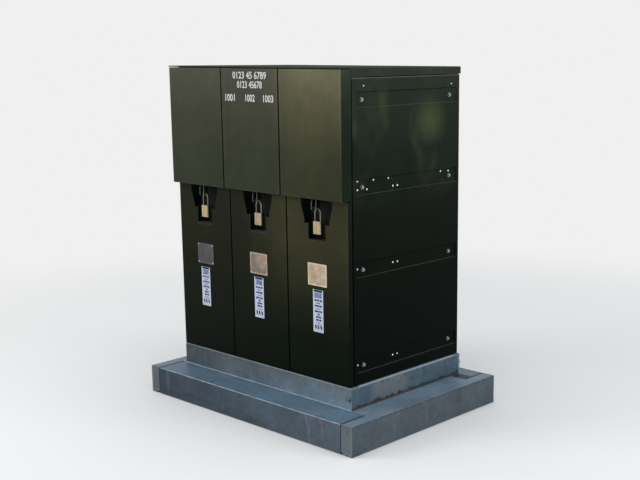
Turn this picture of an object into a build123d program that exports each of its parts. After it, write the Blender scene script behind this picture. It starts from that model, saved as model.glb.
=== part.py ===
"""Outdoor ring main unit: three switch ways in one sheet steel cabinet on a zinc plinth.

Lengths are millimetres. X runs along the front from left to right, Y runs from the front
to the back, Z is up. The origin is on the ground under the middle of the plinth.
"""
from build123d import *
import os

os.makedirs("parts", exist_ok=True)

# Cabinet and plinth, the driving sizes
ways = 3
door_width = 360.0
door_height = 521.0
door_gap = 4.0
door_proud = 33.0
cabinet_depth = 717.0
cabinet_height = 1304.0
plinth_height = 128.0
upstand_height = 97.0
ledge_front = 143.0
ledge_back = 80.0
ledge_left = 85.0
ledge_right = 146.0
upstand_step = 7.0

# Sheet thicknesses, bends and the small gaps between pieces
cover_sheet = 2.0
post_sheet = 2.5
pocket_sheet = 1.5
plinth_sheet = 3.0
cover_bend = 3.0
plinth_bend = 4.5
seat_gap = 0.3
run_fit = 0.05
bolt_fit = 0.5

# Positions that follow from the driving sizes
way_pitch = door_width + door_gap
cabinet_width = ways * way_pitch - door_gap
plinth_width = ledge_left + cabinet_width + ledge_right
plinth_depth = ledge_front + cabinet_depth + ledge_back
x_left = ledge_left - plinth_width / 2
x_right = x_left + cabinet_width
upstand_right = x_right + upstand_step
y_front = ledge_front - plinth_depth / 2
y_back = y_front + cabinet_depth
z_base = plinth_height + upstand_height
z_roof = z_base + cabinet_height
way_centres = [x_left + door_width / 2 + way_pitch * way for way in range(ways)]
joint_centres = [centre + way_pitch / 2 for centre in way_centres[:-1]]

# Pressed panels stand proud of the posts by their own depth
swage_depth = 4.0
panel_return = swage_depth + cover_sheet
skin_step = panel_return + seat_gap

# Doors and covers
return_gap = 2.5
roof_lip = 5.0
roof_overhang = 2.0
roof_fall = 8.0
door_head_gap = 3.0
door_return_depth = 52.5
door_top = z_roof - roof_lip - door_head_gap
door_bottom = door_top - door_height
door_face = y_front - door_proud
return_back = door_face + door_return_depth
cover_top = door_bottom - door_gap
cover_bottom = z_base + cover_sheet

# The roof's underside falls in a straight line from its front edge to the back
roof_front = door_face - roof_overhang
roof_slope = roof_fall / (y_back - roof_front)

# Frame behind the skin, whose front rail and posts end level under that slope
post_front = return_back + return_gap
post_side = 78.0
post_face = 45.0
sill_height = 40.0
rail_height = 35.0
side_out_left = x_left + skin_step
side_out_right = x_right - skin_step
rear_out = y_back - skin_step
roof_seat = z_roof - cover_sheet - seat_gap
rail_top = roof_seat - roof_slope * (post_front + post_side - roof_front)
rail_foot = rail_top - rail_height
rear_post_top = roof_seat - roof_slope * (rear_out - roof_front)
mid_post_width = 40.0
mid_post_depth = 38.0
frame_back = post_front + mid_post_depth + seat_gap

# Pressed panels on the two ends and the back
panel_margin_front = 29.0
panel_margin_back = 8.0
panel_foot = 3.0
fascia_height = 39.0
swage_height = 64.0
swage_end = 17.0
swage_radius = 10.0
swage_slope = 40.0
swage_first = 84.0
swage_last_drop = 128.0
swage_shares = (0.0, 0.369, 0.6795, 1.0)
bolt_from_front = 85.0
bolt_from_back = 77.0
panel_bolt = 8.0
panel_bolt_head = 13.0

# Locking
lug_sheet = 4.0
lug_hole_radius = 6.5
lug_set_back = 8.0
lug_drop = 44.0
lug_foot = 11.0
lug_half = 12.0
lug_tip_half = 5.0
lug_shoulder = 4.0
shackle_rod = 8.0
shackle_spread = 32.0
shackle_clear = 46.0
padlock_width = 47.0
padlock_height = 55.0
padlock_thick = 20.0
notch_width = 185.0
notch_waist = 147.0
slot_width = 100.0
slot_depth = 171.0
funnel_depth = 104.0
pocket_depth = 45.0

# Switching gear behind the doors
axle_rise = 225.0
spindle_diameter = 24.0
socket_across = 19.0
tank_front = 230.0
tank_rear = 17.0
tank_side = 26.0
tank_floor = 420.0
tank_headroom = 64.0
tank_wall = 3.0
phase_first = 90.0
phase_last = 100.0
phase_pitch = (cabinet_depth - tank_front - tank_rear - phase_first - phase_last) / 2
blade_reach = 75.0
bushing_pitch = 105.0
bushing_height = 560.0
clamp_drop = 260.0
gland_hole = 110.0
gland_depth = 165.0


def span(one, other):
    """Low and high value of a pair, whichever way round it is given."""
    return (min(one, other), max(one, other))


def bar(xs, ys, zs, mode=Mode.ADD):
    """Square block between a low and a high value on each axis."""
    middle = Vector(sum(xs) / 2, sum(ys) / 2, sum(zs) / 2)
    with Locations(middle):
        Box(xs[1] - xs[0], ys[1] - ys[0], zs[1] - zs[0], mode=mode)


def round_bar(middle, along, radius, length, mode=Mode.ADD):
    """Round bar about its middle point, along x, y or z."""
    turn = {"x": (0, 90, 0), "y": (90, 0, 0), "z": (0, 0, 0)}[along]
    with Locations(Location(middle, turn)):
        Cylinder(radius, length, mode=mode)


def finish(piece, label):
    """Label a finished piece and write it."""
    piece.part.label = label
    export_step(piece.part, f"parts/{label}.step")


# Plinth: front and rear members, each one folded strip with a top flange, an upstand,
# a ledge, an outer face and a foot
plinth_flange = 45.0
plinth_foot = 40.0
member_reach_left = 25.0
member_reach_right = 81.0
corner_slit = 4.0
corner_cut = 12.0
anchor_spacing_x = 1000.0
anchor_radius = 9.0
corner_tab = 40.0
corner_tab_margin = 8.0
corner_bolt_inset = 14.0
corner_bolt = 12.0
corner_bolt_head = 19.0
corner_bolt_washer = 24.0
corner_bolt_height = plinth_height + 53.0
member_low = x_left - member_reach_left
member_high = x_right + member_reach_right


def long_member(label, y_face, ledge, side, bolts):
    y_edge = y_face + side * ledge
    with BuildPart() as member:
        with BuildSketch(Plane.YZ.offset(member_low)):
            with BuildLine():
                FilletPolyline(
                    (y_face - side * plinth_flange, z_base),
                    (y_face, z_base),
                    (y_face, plinth_height),
                    (y_edge, plinth_height),
                    (y_edge, 0),
                    (y_edge - side * plinth_foot, 0),
                    radius=plinth_bend,
                )
                offset(amount=plinth_sheet, side=Side.LEFT if side < 0 else Side.RIGHT)
            make_face()
        extrude(amount=member_high - member_low)
        behind = span(y_face, y_face - side * (plinth_flange + 1))
        before = span(y_face, y_face + side * plinth_bend)
        for beside in ((member_low - 1, x_left), (upstand_right, member_high + 1)):
            bar(beside, behind, (plinth_height - 2 * plinth_bend, z_base + 1), Mode.SUBTRACT)
            bar(beside, before, (plinth_height, z_base + 1), Mode.SUBTRACT)
        for x in (-anchor_spacing_x / 2, anchor_spacing_x / 2):
            round_bar((x, y_edge - side * plinth_foot / 2, 0), "z", anchor_radius,
                      4 * plinth_sheet, Mode.SUBTRACT)
        for x in bolts:
            round_bar((x, y_face, corner_bolt_height), "y", corner_bolt / 2 + bolt_fit,
                      6 * plinth_sheet, Mode.SUBTRACT)
    finish(member, label)


bolt_left = x_left + corner_bolt_inset
bolt_right = upstand_right - corner_bolt_inset
long_member("plinth_front", y_front, ledge_front, -1, [bolt_right])
long_member("plinth_rear", y_back, ledge_back, 1, [bolt_left, bolt_right])


# Plinth: side members, whose ledge is notched round the long members and whose ends turn
# to close the corners, with a foot cut off on the slant
def side_member(label, x_face, x_edge, member_end, side):
    x_slit = member_end + side * corner_slit
    with BuildPart() as member:
        with BuildSketch(Plane.XZ.offset(-plinth_depth / 2)):
            with BuildLine():
                FilletPolyline(
                    (x_face - side * plinth_flange, z_base),
                    (x_face, z_base),
                    (x_face, plinth_height),
                    (x_edge, plinth_height),
                    (x_edge, 0),
                    (x_edge - side * plinth_foot, 0),
                    radius=plinth_bend,
                )
                offset(amount=plinth_sheet, side=Side.LEFT if side < 0 else Side.RIGHT)
            make_face()
        extrude(amount=plinth_depth)
        for end, y_face in ((-1, y_front), (1, y_back)):
            y_end = end * plinth_depth / 2
            beyond = y_end + end
            inner = span(x_face - side * (plinth_flange + 1), x_slit)
            bar(inner, span(y_face - end * seat_gap, beyond), (-1, z_base + 1), Mode.SUBTRACT)
            wall = y_face - end * (plinth_sheet + seat_gap)
            inside = span(x_face - side * (plinth_flange + 1), x_face)
            bar(inside, span(wall, beyond), (plinth_height - 2 * plinth_bend, z_base + 1), Mode.SUBTRACT)
            bar(span(x_face, x_face + side * plinth_bend), span(wall, beyond),
                (plinth_height, z_base + 1), Mode.SUBTRACT)
            bar(inside, span(y_face - end * (plinth_flange + seat_gap), beyond),
                (z_base - plinth_bend, z_base + 1), Mode.SUBTRACT)
            bar(span(x_face, x_face - side * corner_tab), span(wall, wall - end * plinth_sheet),
                (plinth_height + corner_tab_margin, z_base - corner_tab_margin))
            with BuildSketch(Plane.XZ.offset(-y_end)) as cap:
                Polygon((x_slit, corner_cut), (x_edge, 0), (x_edge, plinth_height),
                        (x_slit, plinth_height), align=None)
                corner = cap.vertices().sort_by_distance((x_edge, plinth_height))[0]
                fillet(corner, plinth_bend)
            extrude(amount=end * plinth_sheet)
            x_bolt = x_face - side * corner_bolt_inset
            round_bar((x_bolt, y_face, corner_bolt_height), "y", corner_bolt / 2 + bolt_fit,
                      6 * plinth_sheet, Mode.SUBTRACT)
    finish(member, label)


side_member("plinth_left", x_left, x_left - ledge_left, member_low, -1)
side_member("plinth_right", upstand_right, x_right + ledge_right, member_high, 1)

# Hexagon bolts with washers that hold the plinth's corners
with BuildPart() as plinth_bolts:
    washer_thick = 2.5
    head_thick = 7.5
    nut_seat = 2 * plinth_sheet + seat_gap
    corners = [(bolt_right, y_front, -1), (bolt_left, y_back, 1), (bolt_right, y_back, 1)]
    for x, y, side in corners:
        outward = Plane(origin=(x, y, corner_bolt_height), x_dir=(1, 0, 0), z_dir=(0, side, 0))
        with BuildSketch(outward):
            Circle(corner_bolt_washer / 2)
        extrude(amount=washer_thick)
        with BuildSketch(outward.offset(washer_thick)):
            RegularPolygon(corner_bolt_head / 2, 6, major_radius=False)
        extrude(amount=head_thick)
        with BuildSketch(outward):
            Circle(corner_bolt / 2)
        extrude(amount=-(nut_seat + 2 * head_thick))
        with BuildSketch(outward.offset(-nut_seat)):
            RegularPolygon(corner_bolt_head / 2, 6, major_radius=False)
        extrude(amount=-head_thick)
finish(plinth_bolts, "plinth_bolts")


# Corner posts: bent angles, the front pair with short faces, the rear pair with long ones
swage_rise = cabinet_height - swage_first - swage_last_drop
panel_heights = [z_base + swage_first + swage_rise * share for share in swage_shares]
y_bolt_front = y_front + bolt_from_front
y_bolt_back = y_back - bolt_from_back
rear_face = 100.0


def front_post(label, x_out, side):
    with BuildPart() as post:
        bar(span(x_out, x_out - side * post_sheet), (post_front, post_front + post_side),
            (z_base, rail_top))
        bar(span(x_out, x_out - side * post_face), (post_front, post_front + post_sheet),
            (z_base, rail_foot))
        for z in panel_heights:
            round_bar((x_out, y_bolt_front, z), "x", panel_bolt / 2 + bolt_fit,
                      4 * post_sheet, Mode.SUBTRACT)
    finish(post, label)


def rear_post(label, x_out, side):
    with BuildPart() as post:
        bar(span(x_out, x_out - side * post_sheet), (rear_out - rear_face, rear_out),
            (z_base, rear_post_top))
        bar(span(x_out, x_out - side * rear_face), (rear_out - post_sheet, rear_out),
            (z_base, rear_post_top))
        for z in panel_heights:
            round_bar((x_out, y_bolt_back, z), "x", panel_bolt / 2 + bolt_fit,
                      4 * post_sheet, Mode.SUBTRACT)
            x_bolt = x_out + side * skin_step - side * bolt_from_back
            round_bar((x_bolt, rear_out, z), "y", panel_bolt / 2 + bolt_fit,
                      4 * post_sheet, Mode.SUBTRACT)
    finish(post, label)


front_post("front_post_left", side_out_left, -1)
front_post("front_post_right", side_out_right, 1)
rear_post("rear_post_left", side_out_left, -1)
rear_post("rear_post_right", side_out_right, 1)

# Channel posts behind the joints between the ways, standing on the front sill
with BuildPart() as mid_posts:
    for x in joint_centres:
        half = mid_post_width / 2
        heights = (z_base + sill_height, rail_foot - seat_gap)
        depths = (post_front, post_front + mid_post_depth)
        bar((x - half, x + half), depths, heights)
        bar((x - half + post_sheet, x + half - post_sheet), (depths[0] + post_sheet, depths[1] + 1),
            (heights[0] - 1, heights[1] + 1), Mode.SUBTRACT)
finish(mid_posts, "mid_posts")

# Front sill: a channel on the plinth's top flange
inner_left = side_out_left + post_sheet + seat_gap
inner_right = side_out_right - post_sheet - seat_gap
sill_front = post_front + post_sheet + seat_gap
sill_back = sill_front + mid_post_width
with BuildPart() as front_sill:
    bar((inner_left, inner_right), (sill_front, sill_back), (z_base, z_base + sill_height))
    bar((inner_left - 1, inner_right + 1), (sill_front + post_sheet, sill_back + 1),
        (z_base + post_sheet, z_base + sill_height - post_sheet), Mode.SUBTRACT)
finish(front_sill, "front_sill")

# Cross rail: an angle behind the cover tops, notched round the mid posts, with one fixed
# lock lug hanging from it at each way
hook_rise = 11.0
hook_height = door_bottom + hook_rise
cross_rail_height = 46.0
fixed_lug_offset = 26.0
fixed_lug_root = 26.0
fixed_lug_rise = 18.0
fixed_lug_throat = 2.0
lug_low = door_bottom - lug_drop - lug_foot
y_lug = y_front + lug_set_back
z_lug = door_bottom - lug_drop
with BuildPart() as cross_rail:
    bar((inner_left, inner_right), (sill_front, frame_back + post_sheet),
        (hook_height - post_sheet, hook_height))
    bar((inner_left, inner_right), (frame_back, frame_back + post_sheet),
        (hook_height - cross_rail_height, hook_height))
    for x in joint_centres:
        reach = mid_post_width / 2 + seat_gap
        bar((x - reach, x + reach), (sill_front - 1, frame_back),
            (hook_height - cross_rail_height - 1, hook_height + 1), Mode.SUBTRACT)
    for centre in way_centres:
        with BuildSketch(Plane.YZ.offset(centre - fixed_lug_offset - lug_sheet / 2)):
            Polygon(
                (y_lug + fixed_lug_root, hook_height - post_sheet),
                (y_lug + fixed_lug_root, z_lug + fixed_lug_rise),
                (y_lug + lug_half, z_lug - lug_shoulder),
                (y_lug + lug_tip_half, lug_low),
                (y_lug - lug_tip_half, lug_low),
                (y_lug - lug_half, z_lug - lug_shoulder),
                (y_lug - lug_half, z_lug + fixed_lug_root),
                (y_lug + fixed_lug_throat, hook_height - post_sheet),
                align=None,
            )
            with Locations((y_lug, z_lug)):
                Circle(lug_hole_radius, mode=Mode.SUBTRACT)
        extrude(amount=lug_sheet)
finish(cross_rail, "cross_rail")

# Hinge rail under the roof's front edge, with two arms for each door
hinge_set_back = 8.0
hinge_drop = 11.0
pin_radius = 3.0
arm_boss = 5.5
arm_inset = 9.0
arm_top = 4.0
y_hinge = door_face + hinge_set_back
z_hinge = door_top - hinge_drop
arm_sides = [(centre + side * (door_width / 2 - arm_inset), side)
             for centre in way_centres for side in (-1, 1)]
with BuildPart() as hinge_rail:
    bar((inner_left, inner_right), (sill_front, sill_front + mid_post_width),
        (rail_top - post_sheet, rail_top))
    bar((inner_left, inner_right), (sill_front, sill_front + post_sheet), (rail_foot, rail_top))
    for x, side in arm_sides:
        plane = Plane.YZ.offset(min(x, x - side * lug_sheet))
        with BuildSketch(plane):
            Polygon(
                (y_hinge, z_hinge - arm_boss),
                (y_hinge, z_hinge + arm_top),
                (sill_front + 1, z_hinge + arm_top),
                (sill_front + 1, rail_foot),
                align=None,
            )
            with Locations((y_hinge, z_hinge)):
                Circle(arm_boss)
                Circle(pin_radius, mode=Mode.SUBTRACT)
        extrude(amount=lug_sheet)
finish(hinge_rail, "hinge_rail")

# Hinge pins, pressed in the arms and running in the doors' side returns
with BuildPart() as hinge_pins:
    for x, side in arm_sides:
        tip = x + side * (arm_inset - seat_gap)
        root = x - side * lug_sheet
        round_bar(((tip + root) / 2, y_hinge, z_hinge), "x", pin_radius, abs(tip - root))
finish(hinge_pins, "hinge_pins")


# Pressed panels: a shallow tray with four swages, bolted through them to the posts
def pressed_panel(label, plane, width, bolt_places):
    foot = z_base + panel_foot
    top = z_roof - fascia_height - panel_foot
    middle = (foot + top) / 2
    length = width - 2 * swage_end
    with BuildPart() as panel:
        with BuildSketch(plane):
            with Locations((0, middle)):
                Rectangle(width, top - foot)
        extrude(amount=-panel_return)
        fillet(panel.faces().sort_by(Axis(plane.origin, plane.z_dir))[-1].edges(), cover_bend / 2)
        with BuildSketch(plane.offset(-cover_sheet)):
            with Locations((0, middle)):
                Rectangle(width - 2 * cover_sheet, top - foot - 2 * cover_sheet)
        extrude(amount=-panel_return, mode=Mode.SUBTRACT)
        levels = [(0, z) for z in panel_heights]
        with BuildSketch(plane.offset(-cover_sheet)):
            with Locations(*levels):
                RectangleRounded(length, swage_height, swage_radius)
        extrude(amount=-swage_depth, taper=swage_slope)
        with BuildSketch(plane):
            with Locations(*levels):
                RectangleRounded(length, swage_height, swage_radius)
        extrude(amount=-swage_depth, taper=swage_slope, mode=Mode.SUBTRACT)
        with BuildSketch(plane):
            with Locations(*[(u, z) for u in bolt_places for z in panel_heights]):
                Circle(panel_bolt / 2 + bolt_fit)
        extrude(amount=-2 * panel_return, mode=Mode.SUBTRACT)
    finish(panel, label)


def panel_bolt_group(plane, bolt_places):
    head = 5.5
    washer = 1.6
    washer_radius = panel_bolt_head * 0.7
    for u in bolt_places:
        for z in panel_heights:
            seat = plane.offset(-swage_depth)
            place = Plane(origin=seat.from_local_coords(Vector(u, z, 0)),
                          x_dir=plane.x_dir, z_dir=plane.z_dir)
            with BuildPart() as bolt:
                with BuildSketch(place):
                    Circle(washer_radius)
                extrude(amount=washer)
                with BuildSketch(place.offset(washer)):
                    RegularPolygon(panel_bolt_head / 2, 6, major_radius=False)
                extrude(amount=head)
                with BuildSketch(place):
                    Circle(panel_bolt / 2)
                extrude(amount=-2 * panel_return)
            yield bolt.part


field_front = y_front + panel_margin_front
field_back = y_back - panel_margin_back
field_middle = (field_front + field_back) / 2
field_width = field_back - field_front
right_plane = Plane(origin=(x_right, field_middle, 0), x_dir=(0, 1, 0), z_dir=(1, 0, 0))
left_plane = Plane(origin=(x_left, field_middle, 0), x_dir=(0, -1, 0), z_dir=(-1, 0, 0))
back_plane = Plane(origin=((x_left + x_right) / 2, y_back, 0), x_dir=(-1, 0, 0), z_dir=(0, 1, 0))
back_width = cabinet_width - 2 * panel_margin_back
end_bolts = (y_bolt_front - field_middle, y_bolt_back - field_middle)
end_bolts_left = tuple(-u for u in end_bolts)
back_bolt = cabinet_width / 2 - bolt_from_back
pressed_panel("end_panel_right", right_plane, field_width, end_bolts)
pressed_panel("end_panel_left", left_plane, field_width, end_bolts_left)
pressed_panel("back_panel", back_plane, back_width, (-back_bolt, back_bolt))

with BuildPart() as panel_bolts:
    for plane, places in ((right_plane, end_bolts), (left_plane, end_bolts_left),
                          (back_plane, (-back_bolt, back_bolt))):
        for bolt in panel_bolt_group(plane, places):
            add(bolt)
finish(panel_bolts, "panel_bolts")

# Roof: one folded tray that falls a little to the back, with deep side and rear fascias and
# a short lip over the doors
fascia_front = return_back + return_gap
fascia_low = z_roof - fascia_height
with BuildPart() as roof:
    with BuildSketch(Plane.YZ.offset(x_left)):
        Polygon((roof_front, fascia_low), (y_back, fascia_low), (y_back, z_roof - roof_fall),
                (roof_front, z_roof), align=None)
    extrude(amount=cabinet_width)
    fillet(roof.faces().sort_by(Axis.Z)[-1].edges(), cover_bend)
    with BuildSketch(Plane.YZ.offset(x_left + cover_sheet)):
        Polygon((roof_front + cover_sheet, fascia_low - 1), (y_back - cover_sheet, fascia_low - 1),
                (y_back - cover_sheet, z_roof - roof_fall - cover_sheet),
                (roof_front + cover_sheet, z_roof - cover_sheet), align=None)
    extrude(amount=cabinet_width - 2 * cover_sheet, mode=Mode.SUBTRACT)
    bar((x_left - 1, x_right + 1), (roof_front - 1, fascia_front),
        (fascia_low - 1, z_roof - roof_lip), Mode.SUBTRACT)
finish(roof, "roof")


# Upper doors: folded trays that swing up on their hinge pins, each with a lock lug
edge_return_back = y_front - 3.0
door_lug_shift = 1.0


def upper_door(label, centre):
    half = door_width / 2
    with BuildPart() as door:
        bar((centre - half, centre + half), (door_face, return_back), (door_bottom, door_top))
        fillet(door.faces().sort_by(Axis.Y)[0].edges(), cover_bend / 2)
        inner = (centre - half + cover_sheet, centre + half - cover_sheet)
        bar(inner, (door_face + cover_sheet, return_back + 1),
            (door_bottom + cover_sheet, door_top - cover_sheet), Mode.SUBTRACT)
        bar(inner, (edge_return_back, return_back + 1), (door_bottom - 1, door_top + 1), Mode.SUBTRACT)
        for side in (-1, 1):
            arm_room = span(centre + side * (half - cover_sheet), centre + side * (half - 2 * arm_inset))
            bar(arm_room, (door_face + cover_sheet, return_back + 1),
                (z_hinge, door_top + 1), Mode.SUBTRACT)
        round_bar((centre, y_hinge, z_hinge), "x", pin_radius + run_fit, 2 * door_width, Mode.SUBTRACT)
        with BuildSketch(Plane.YZ.offset(centre + door_lug_shift - lug_sheet / 2)):
            Polygon(
                (y_lug - lug_half, door_bottom + cover_sheet / 2),
                (y_lug + lug_half, door_bottom + cover_sheet / 2),
                (y_lug + lug_half, z_lug - lug_shoulder),
                (y_lug + lug_tip_half, lug_low),
                (y_lug - lug_tip_half, lug_low),
                (y_lug - lug_half, z_lug - lug_shoulder),
                align=None,
            )
            with Locations((y_lug, z_lug)):
                Circle(lug_hole_radius, mode=Mode.SUBTRACT)
        extrude(amount=lug_sheet)
    finish(door, label)


# Lower covers: folded trays that hook over the cross rail, with a shaped notch for the lock
tongue_inset = 6.0
hook_depth = 32.0
shoulder_drop = 29.0
slant_drop = 86.0
cover_return = post_front - seat_gap
hook_half = door_width / 2 - skin_step - post_face - 2 * cover_sheet
notch_shoulder = cover_top - shoulder_drop
notch_slant = cover_top - slant_drop
notch_floor = cover_top - funnel_depth
slot_floor = cover_top - slot_depth


def cable_cover(label, centre):
    half = door_width / 2
    tongue = (centre - half + tongue_inset, centre + half - tongue_inset)
    hook_top = hook_height + seat_gap + cover_sheet
    with BuildPart() as cover:
        bar((centre - half, centre + half), (y_front, cover_return), (cover_bottom, cover_top))
        fillet(cover.edges().filter_by(Axis.Z).group_by(Axis.Y)[0], cover_bend)
        bar((centre - half + cover_sheet, centre + half - cover_sheet),
            (y_front + cover_sheet, cover_return + 1), (cover_bottom - 1, cover_top + 1), Mode.SUBTRACT)
        bar(tongue, (y_front, y_front + cover_sheet), (cover_top - 1, hook_top))
        bar(tongue, (y_front, cover_return), (hook_top - cover_sheet, hook_top))
        bar((centre - hook_half, centre + hook_half), (y_front, y_front + hook_depth),
            (hook_top - cover_sheet, hook_top))
        with BuildSketch(Plane.XZ.offset(-(y_front + hook_depth + 1))):
            with Locations((centre, 0)):
                Polygon(
                    (-notch_width / 2, hook_top + 1),
                    (-notch_width / 2, notch_shoulder),
                    (-notch_waist / 2, notch_slant),
                    (-notch_waist / 2, notch_floor),
                    (-slot_width / 2, notch_floor),
                    (-slot_width / 2, slot_floor),
                    (slot_width / 2, slot_floor),
                    (slot_width / 2, notch_floor),
                    (notch_waist / 2, notch_floor),
                    (notch_waist / 2, notch_slant),
                    (notch_width / 2, notch_shoulder),
                    (notch_width / 2, hook_top + 1),
                    align=None,
                )
        extrude(amount=hook_depth + 2, mode=Mode.SUBTRACT)
    finish(cover, label)


# Lock pockets: welded boxes behind the notches, open at the front and the top
pocket_wall_room = 4.0
pocket_flange = 8.0


def pocket_outline(grow):
    """Corner points of the pocket in the cover's plane, about the way's centre."""
    wide = notch_width / 2 + pocket_wall_room + grow
    narrow = slot_width / 2 + 4 * pocket_wall_room + grow
    step = notch_floor - pocket_wall_room - grow
    low = slot_floor - pocket_wall_room - grow
    return [(-wide, cover_top), (-wide, step), (-narrow, step), (-narrow, low),
            (narrow, low), (narrow, step), (wide, step), (wide, cover_top)]


def lock_pocket(label, centre):
    front = y_front + cover_sheet + seat_gap
    back = front + pocket_depth
    with BuildPart() as pocket:
        with BuildSketch(Plane.XZ.offset(-back)):
            with Locations((centre, 0)):
                Polygon(*pocket_outline(pocket_sheet), align=None)
        extrude(amount=pocket_depth)
        with BuildSketch(Plane.XZ.offset(-(front + pocket_sheet))):
            with Locations((centre, 0)):
                Polygon(*pocket_outline(pocket_flange), align=None)
        extrude(amount=pocket_sheet)
        with BuildSketch(Plane.XZ.offset(-(back - pocket_sheet))):
            with Locations((centre, 0)):
                Polygon(*pocket_outline(0), align=None)
        extrude(amount=pocket_depth, mode=Mode.SUBTRACT)
    finish(pocket, label)


# Padlocks: a brass body hanging on a hardened shackle that runs through the door's lug
bow_radius = shackle_spread / 2
bow_clearance = 0.7
z_bow = z_lug - lug_hole_radius + shackle_rod / 2 + bow_clearance
padlock_top = z_bow + shackle_rod / 2 - shackle_clear - shackle_rod
padlock_bottom = padlock_top - padlock_height
short_leg = 12.0
long_leg = 30.0


def padlock_shackle(label, centre):
    arch = z_bow - bow_radius
    with BuildPart() as shackle:
        with BuildLine():
            Polyline((centre - bow_radius, y_lug, padlock_top - short_leg),
                     (centre - bow_radius, y_lug, arch))
            ThreePointArc((centre - bow_radius, y_lug, arch), (centre, y_lug, z_bow),
                          (centre + bow_radius, y_lug, arch))
            Polyline((centre + bow_radius, y_lug, arch),
                     (centre + bow_radius, y_lug, padlock_top - long_leg))
        with BuildSketch(Plane.XY.offset(padlock_top - short_leg)):
            with Locations((centre - bow_radius, y_lug)):
                Circle(shackle_rod / 2)
        sweep()
    finish(shackle, label)


def padlock_body(label, centre):
    keyway_radius = 6.0
    keyway_depth = 1.5
    leg_room = 2.0
    edge_top = 1.0
    edge_bottom = 1.5
    with BuildPart() as body:
        with BuildSketch(Plane.XY.offset(padlock_bottom)):
            with Locations((centre, y_lug)):
                RectangleRounded(padlock_width, padlock_thick, padlock_thick / 3)
        extrude(amount=padlock_height)
        chamfer(body.faces().sort_by(Axis.Z)[-1].edges(), edge_top)
        chamfer(body.faces().sort_by(Axis.Z)[0].edges(), edge_bottom)
        for side, leg in ((-1, short_leg), (1, long_leg)):
            round_bar((centre + side * bow_radius, y_lug, padlock_top), "z",
                      shackle_rod / 2 + run_fit, 2 * (leg + leg_room), Mode.SUBTRACT)
        round_bar((centre, y_lug, padlock_bottom), "z", keyway_radius, 2 * keyway_depth, Mode.SUBTRACT)
    finish(body, label)


for way, centre in enumerate(way_centres, 1):
    upper_door(f"upper_door_{way}", centre)
    cable_cover(f"cable_cover_{way}", centre)
    lock_pocket(f"lock_pocket_{way}", centre)
    padlock_shackle(f"padlock_shackle_{way}", centre)
    padlock_body(f"padlock_body_{way}", centre)

# Side rails along the two ends, which carry the gas tank
tank_low = z_base + tank_floor
with BuildPart() as side_rails:
    rail_reach = 42.0
    for x, side in ((inner_left, -1), (inner_right, 1)):
        depths = (post_front + post_sheet + seat_gap, rear_out - post_sheet - seat_gap)
        heights = (tank_low - sill_height, tank_low)
        bar(span(x, x - side * rail_reach), depths, heights)
        bar(span(x - side * post_sheet, x - side * (rail_reach + 1)),
            (depths[0] - 1, depths[1] + 1),
            (heights[0] + post_sheet, heights[1] - post_sheet), Mode.SUBTRACT)
finish(side_rails, "side_rails")

# Clamp rail across the cable space, a slotted channel between the front posts
clamp_rail_low = z_base + bushing_height - clamp_drop
clamp_front = frame_back + seat_gap
clamp_back = post_front + post_side
clamp_slot_pitch = 60.0
clamp_slot_half = 15.0
clamp_slot_rise = 5.0
clamp_slot_height = clamp_rail_low + sill_height / 2
with BuildPart() as clamp_rail:
    bar((inner_left, inner_right), (clamp_front, clamp_back), (clamp_rail_low, clamp_rail_low + sill_height))
    bar((inner_left - 1, inner_right + 1), (clamp_front + post_sheet, clamp_back + 1),
        (clamp_rail_low + post_sheet, clamp_rail_low + sill_height - post_sheet), Mode.SUBTRACT)
    for centre in way_centres:
        for step in (-1, 0, 1):
            x = centre + step * clamp_slot_pitch
            bar((x - clamp_slot_half, x + clamp_slot_half),
                (clamp_front - 1, clamp_front + post_sheet + 1),
                (clamp_slot_height - clamp_slot_rise, clamp_slot_height + clamp_slot_rise),
                Mode.SUBTRACT)
finish(clamp_rail, "clamp_rail")

# Sheets between the cable spaces, from the clamp rail back to the tank
divider_front = clamp_back + seat_gap
divider_back = y_front + tank_front - seat_gap
with BuildPart() as way_dividers:
    for x in joint_centres:
        bar((x - cover_sheet / 2, x + cover_sheet / 2), (divider_front, divider_back),
            (z_base + cover_sheet + seat_gap, hook_height - cross_rail_height))
finish(way_dividers, "way_dividers")

# Floor plate with one collared cable hole for each way
gland_collar = 12.0
gland_y = y_front + gland_depth
floor_margin = 10.0
floor_front = sill_back + floor_margin
floor_back = rear_out - rear_face - floor_margin
with BuildPart() as gland_plate:
    bar((inner_left, inner_right), (floor_front, floor_back), (z_base, z_base + cover_sheet))
    for centre in way_centres:
        round_bar((centre, gland_y, z_base + gland_collar / 2), "z",
                  gland_hole / 2 + cover_sheet, gland_collar)
        round_bar((centre, gland_y, z_base), "z", gland_hole / 2, 4 * gland_collar, Mode.SUBTRACT)
finish(gland_plate, "gland_plate")

# Earth bar on the back of the front sill, drilled for one lug beside each way
earth_bar_thick = 6.0
earth_hole_pitch = 40.0
earth_hole_radius = 5.5
earth_bar_inset = 20.0
earth_bar_edge = 1.0
with BuildPart() as earth_bar:
    ends = (inner_left + earth_bar_inset, inner_right - earth_bar_inset)
    depths = (sill_back + seat_gap, sill_back + seat_gap + earth_bar_thick)
    bar(ends, depths, (z_base + earth_bar_edge, z_base + sill_height - earth_bar_edge))
    for centre in way_centres:
        for step in (-1, 0, 1):
            round_bar((centre + step * earth_hole_pitch, sum(depths) / 2, z_base + sill_height / 2),
                      "y", earth_hole_radius, 4 * earth_bar_thick, Mode.SUBTRACT)
finish(earth_bar, "earth_bar")

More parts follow.
